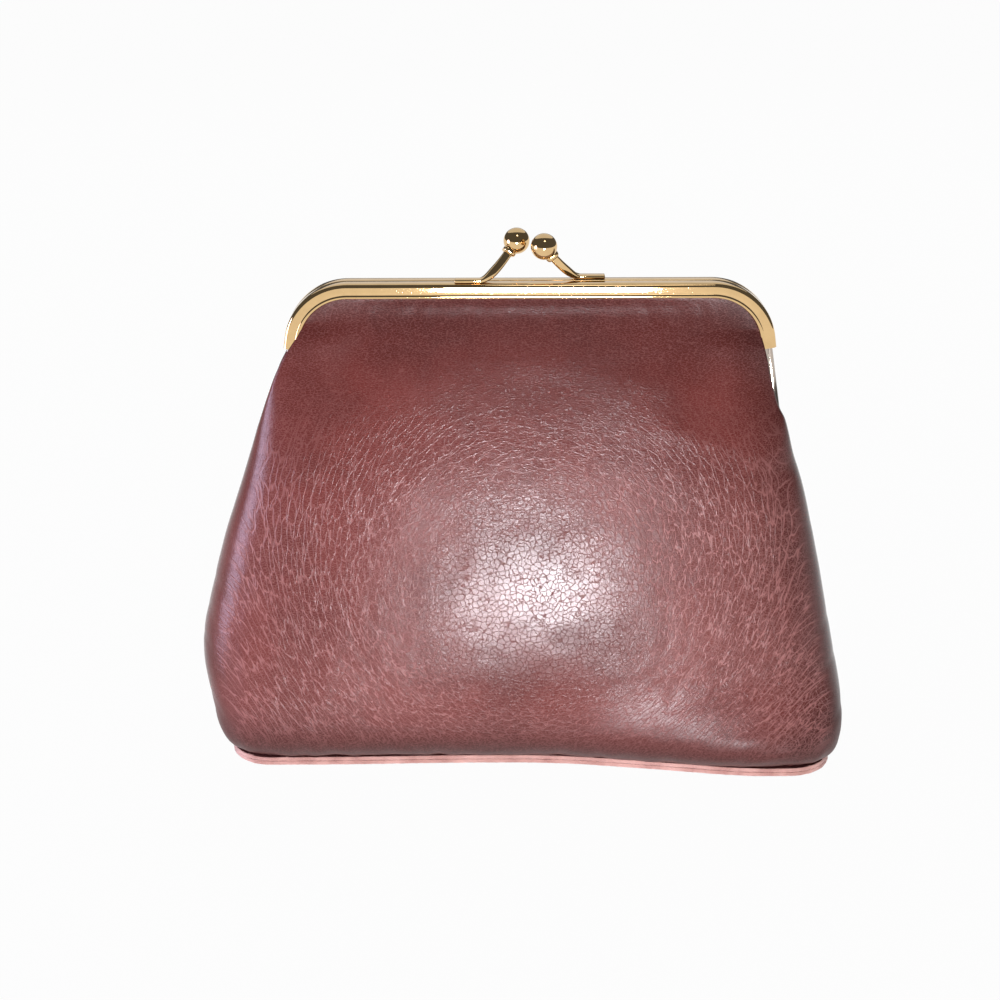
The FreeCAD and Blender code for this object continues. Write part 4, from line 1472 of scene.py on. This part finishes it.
class PURSE_OT_lining(bpy.types.Operator):
    """Woven linings of the front, the rear and the floor"""

    bl_idname = "purse.lining"
    bl_label = "Linings"

    def execute(self, context):
        sizes = context.scene.purse_sizes
        for half in ("front", "rear"):
            build_lining(sizes, half, half == "rear")
        build_base_lining(sizes)
        return {"FINISHED"}


class PURSE_OT_base(bpy.types.Operator):
    """Seam edge, sole and stitches of the base"""

    bl_idname = "purse.base"
    bl_label = "Base seam"

    def execute(self, context):
        sizes = context.scene.purse_sizes
        low, high = LEATHER_PLY + PLY_GAP, 2 * LEATHER_PLY
        flange = build_edge(sizes, "seam_edge", low, high, seed=5.0, filled=False)
        settle(flange, "bag", "leather", "front_panel_lower", "rear_panel_lower")
        sole = build_edge(sizes, "base_sole", 0.0, LEATHER_PLY - PLY_GAP, seed=23.0, filled=True)
        settle(sole, "bag", "leather", "base_panel")
        stitches = build_stitches()
        settle(stitches, "bag", "leather")
        return {"FINISHED"}


class PURSE_OT_frame(bpy.types.Operator):
    """Both halves of the polished channel"""

    bl_idname = "purse.frame"
    bl_label = "Frame halves"

    def execute(self, context):
        for half in ("front", "rear"):
            settle(build_channel(half), half + "_half", "gold_metal", half + "_frame")
        return {"FINISHED"}


class PURSE_OT_hinges(bpy.types.Operator):
    """Hinge legs and rivets"""

    bl_idname = "purse.hinges"
    bl_label = "Hinges"

    def execute(self, context):
        for side in ("left", "right"):
            for half in ("front", "rear"):
                leg = build_leg(half, side)
                settle(leg, half + "_half", "gold_metal", half + "_hinge_leg_" + side)
            settle(build_rivet(side), "rear_half", "gold_metal", "hinge_rivet_" + side)
        return {"FINISHED"}


class PURSE_OT_clasp(bpy.types.Operator):
    """Arms and balls of the kiss lock"""

    bl_idname = "purse.clasp"
    bl_label = "Kiss lock"

    def execute(self, context):
        for half in ("front", "rear"):
            settle(build_arm(half), half + "_half", "gold_metal", half + "_clasp_arm")
            settle(build_ball(half), half + "_half", "gold_metal", half + "_clasp_ball")
        return {"FINISHED"}


class PURSE_OT_inner(bpy.types.Operator):
    """Finishes of the board and the paper cords"""

    bl_idname = "purse.inner"
    bl_label = "Inner parts"

    def execute(self, context):
        finishes = {
            "base_board": "pressed_board",
            "front_paper_cord": "twisted_paper",
            "rear_paper_cord": "twisted_paper",
        }
        for node, finish in finishes.items():
            frame["nodes"][node].material_slots[0].material = finish_of(finish)
        return {"FINISHED"}


class PURSE_OT_stage(bpy.types.Operator):
    """Floor, lamps, surroundings and camera"""

    bl_idname = "purse.stage"
    bl_label = "Stage"

    def execute(self, context):
        scene = context.scene
        stage = scene.purse_stage
        bm = bmesh.new()
        bmesh.ops.create_grid(bm, x_segments=1, y_segments=1, size=FLOOR_SIZE / MM)
        new_piece("floor", bm, ["pale_floor"])
        for name, (place, aim, width, colour) in LAMPS.items():
            light = bpy.data.lights.new(name + "_lamp", "AREA")
            light.shape = "ELLIPSE"
            light.size = width
            light.size_y = width
            light.energy = getattr(stage, name + "_power")
            light.color = colour
            lamp = bpy.data.objects.new(light.name, light)
            lamp.location = place
            lamp.rotation_euler = (Vector(aim) - Vector(place)).to_track_quat("-Z", "Y").to_euler()
            scene.collection.objects.link(lamp)
        world = bpy.data.worlds.new("surroundings")
        world.use_nodes = True
        scene.world = world
        background = world.node_tree.nodes["Background"]
        background.inputs["Color"].default_value = (1, 1, 1, 1)
        background.inputs["Strength"].default_value = stage.sky
        lens = bpy.data.cameras.new("camera")
        lens.lens = stage.lens
        lens.sensor_width = SENSOR_WIDTH
        lens.sensor_fit = "HORIZONTAL"
        lens.clip_start = 0.01
        camera = bpy.data.objects.new("camera", lens)
        tilt = Matrix.Rotation(math.pi / 2 - stage.pitch, 4, "X") @ Matrix.Rotation(stage.roll, 4, "Z")
        camera.matrix_world = Matrix.Translation(CAMERA_PLACE) @ tilt
        scene.collection.objects.link(camera)
        scene.camera = camera
        scene.view_settings.view_transform = "Standard"
        return {"FINISHED"}


class PURSE_PT_panel(bpy.types.Panel):
    """Sizes, colours and the pieces of the purse"""

    bl_idname = "PURSE_PT_panel"
    bl_label = "Purse"
    bl_space_type = "VIEW_3D"
    bl_region_type = "UI"
    bl_category = "Purse"

    def draw(self, context):
        scene = context.scene
        for group in (scene.purse_sizes, scene.purse_colours, scene.purse_stage):
            box = self.layout.box()
            for name in group.__annotations__:
                box.prop(group, name)
        for operator in OPERATORS:
            self.layout.operator(operator.bl_idname)


GROUPS = {"purse_sizes": PurseSizes, "purse_colours": PurseColours, "purse_stage": PurseStage}
OPERATORS = (PURSE_OT_leather, PURSE_OT_lining, PURSE_OT_base, PURSE_OT_frame, PURSE_OT_hinges,
             PURSE_OT_clasp, PURSE_OT_inner, PURSE_OT_stage)


def register():
    """Makes the properties, operators and panel known."""
    for name, group in GROUPS.items():
        bpy.utils.register_class(group)
        setattr(bpy.types.Scene, name, bpy.props.PointerProperty(type=group))
    for cls in OPERATORS + (PURSE_PT_panel,):
        bpy.utils.register_class(cls)


def unregister():
    """Takes the properties, operators and panel away again."""
    for cls in (PURSE_PT_panel,) + OPERATORS[::-1]:
        bpy.utils.unregister_class(cls)
    for name, group in GROUPS.items():
        delattr(bpy.types.Scene, name)
        bpy.utils.unregister_class(group)


def main():
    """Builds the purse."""
    register()
    for piece in ("leather", "lining", "base", "frame", "hinges", "clasp", "inner", "stage"):
        getattr(bpy.ops.purse, piece)()


if __name__ == "__main__":
    main()
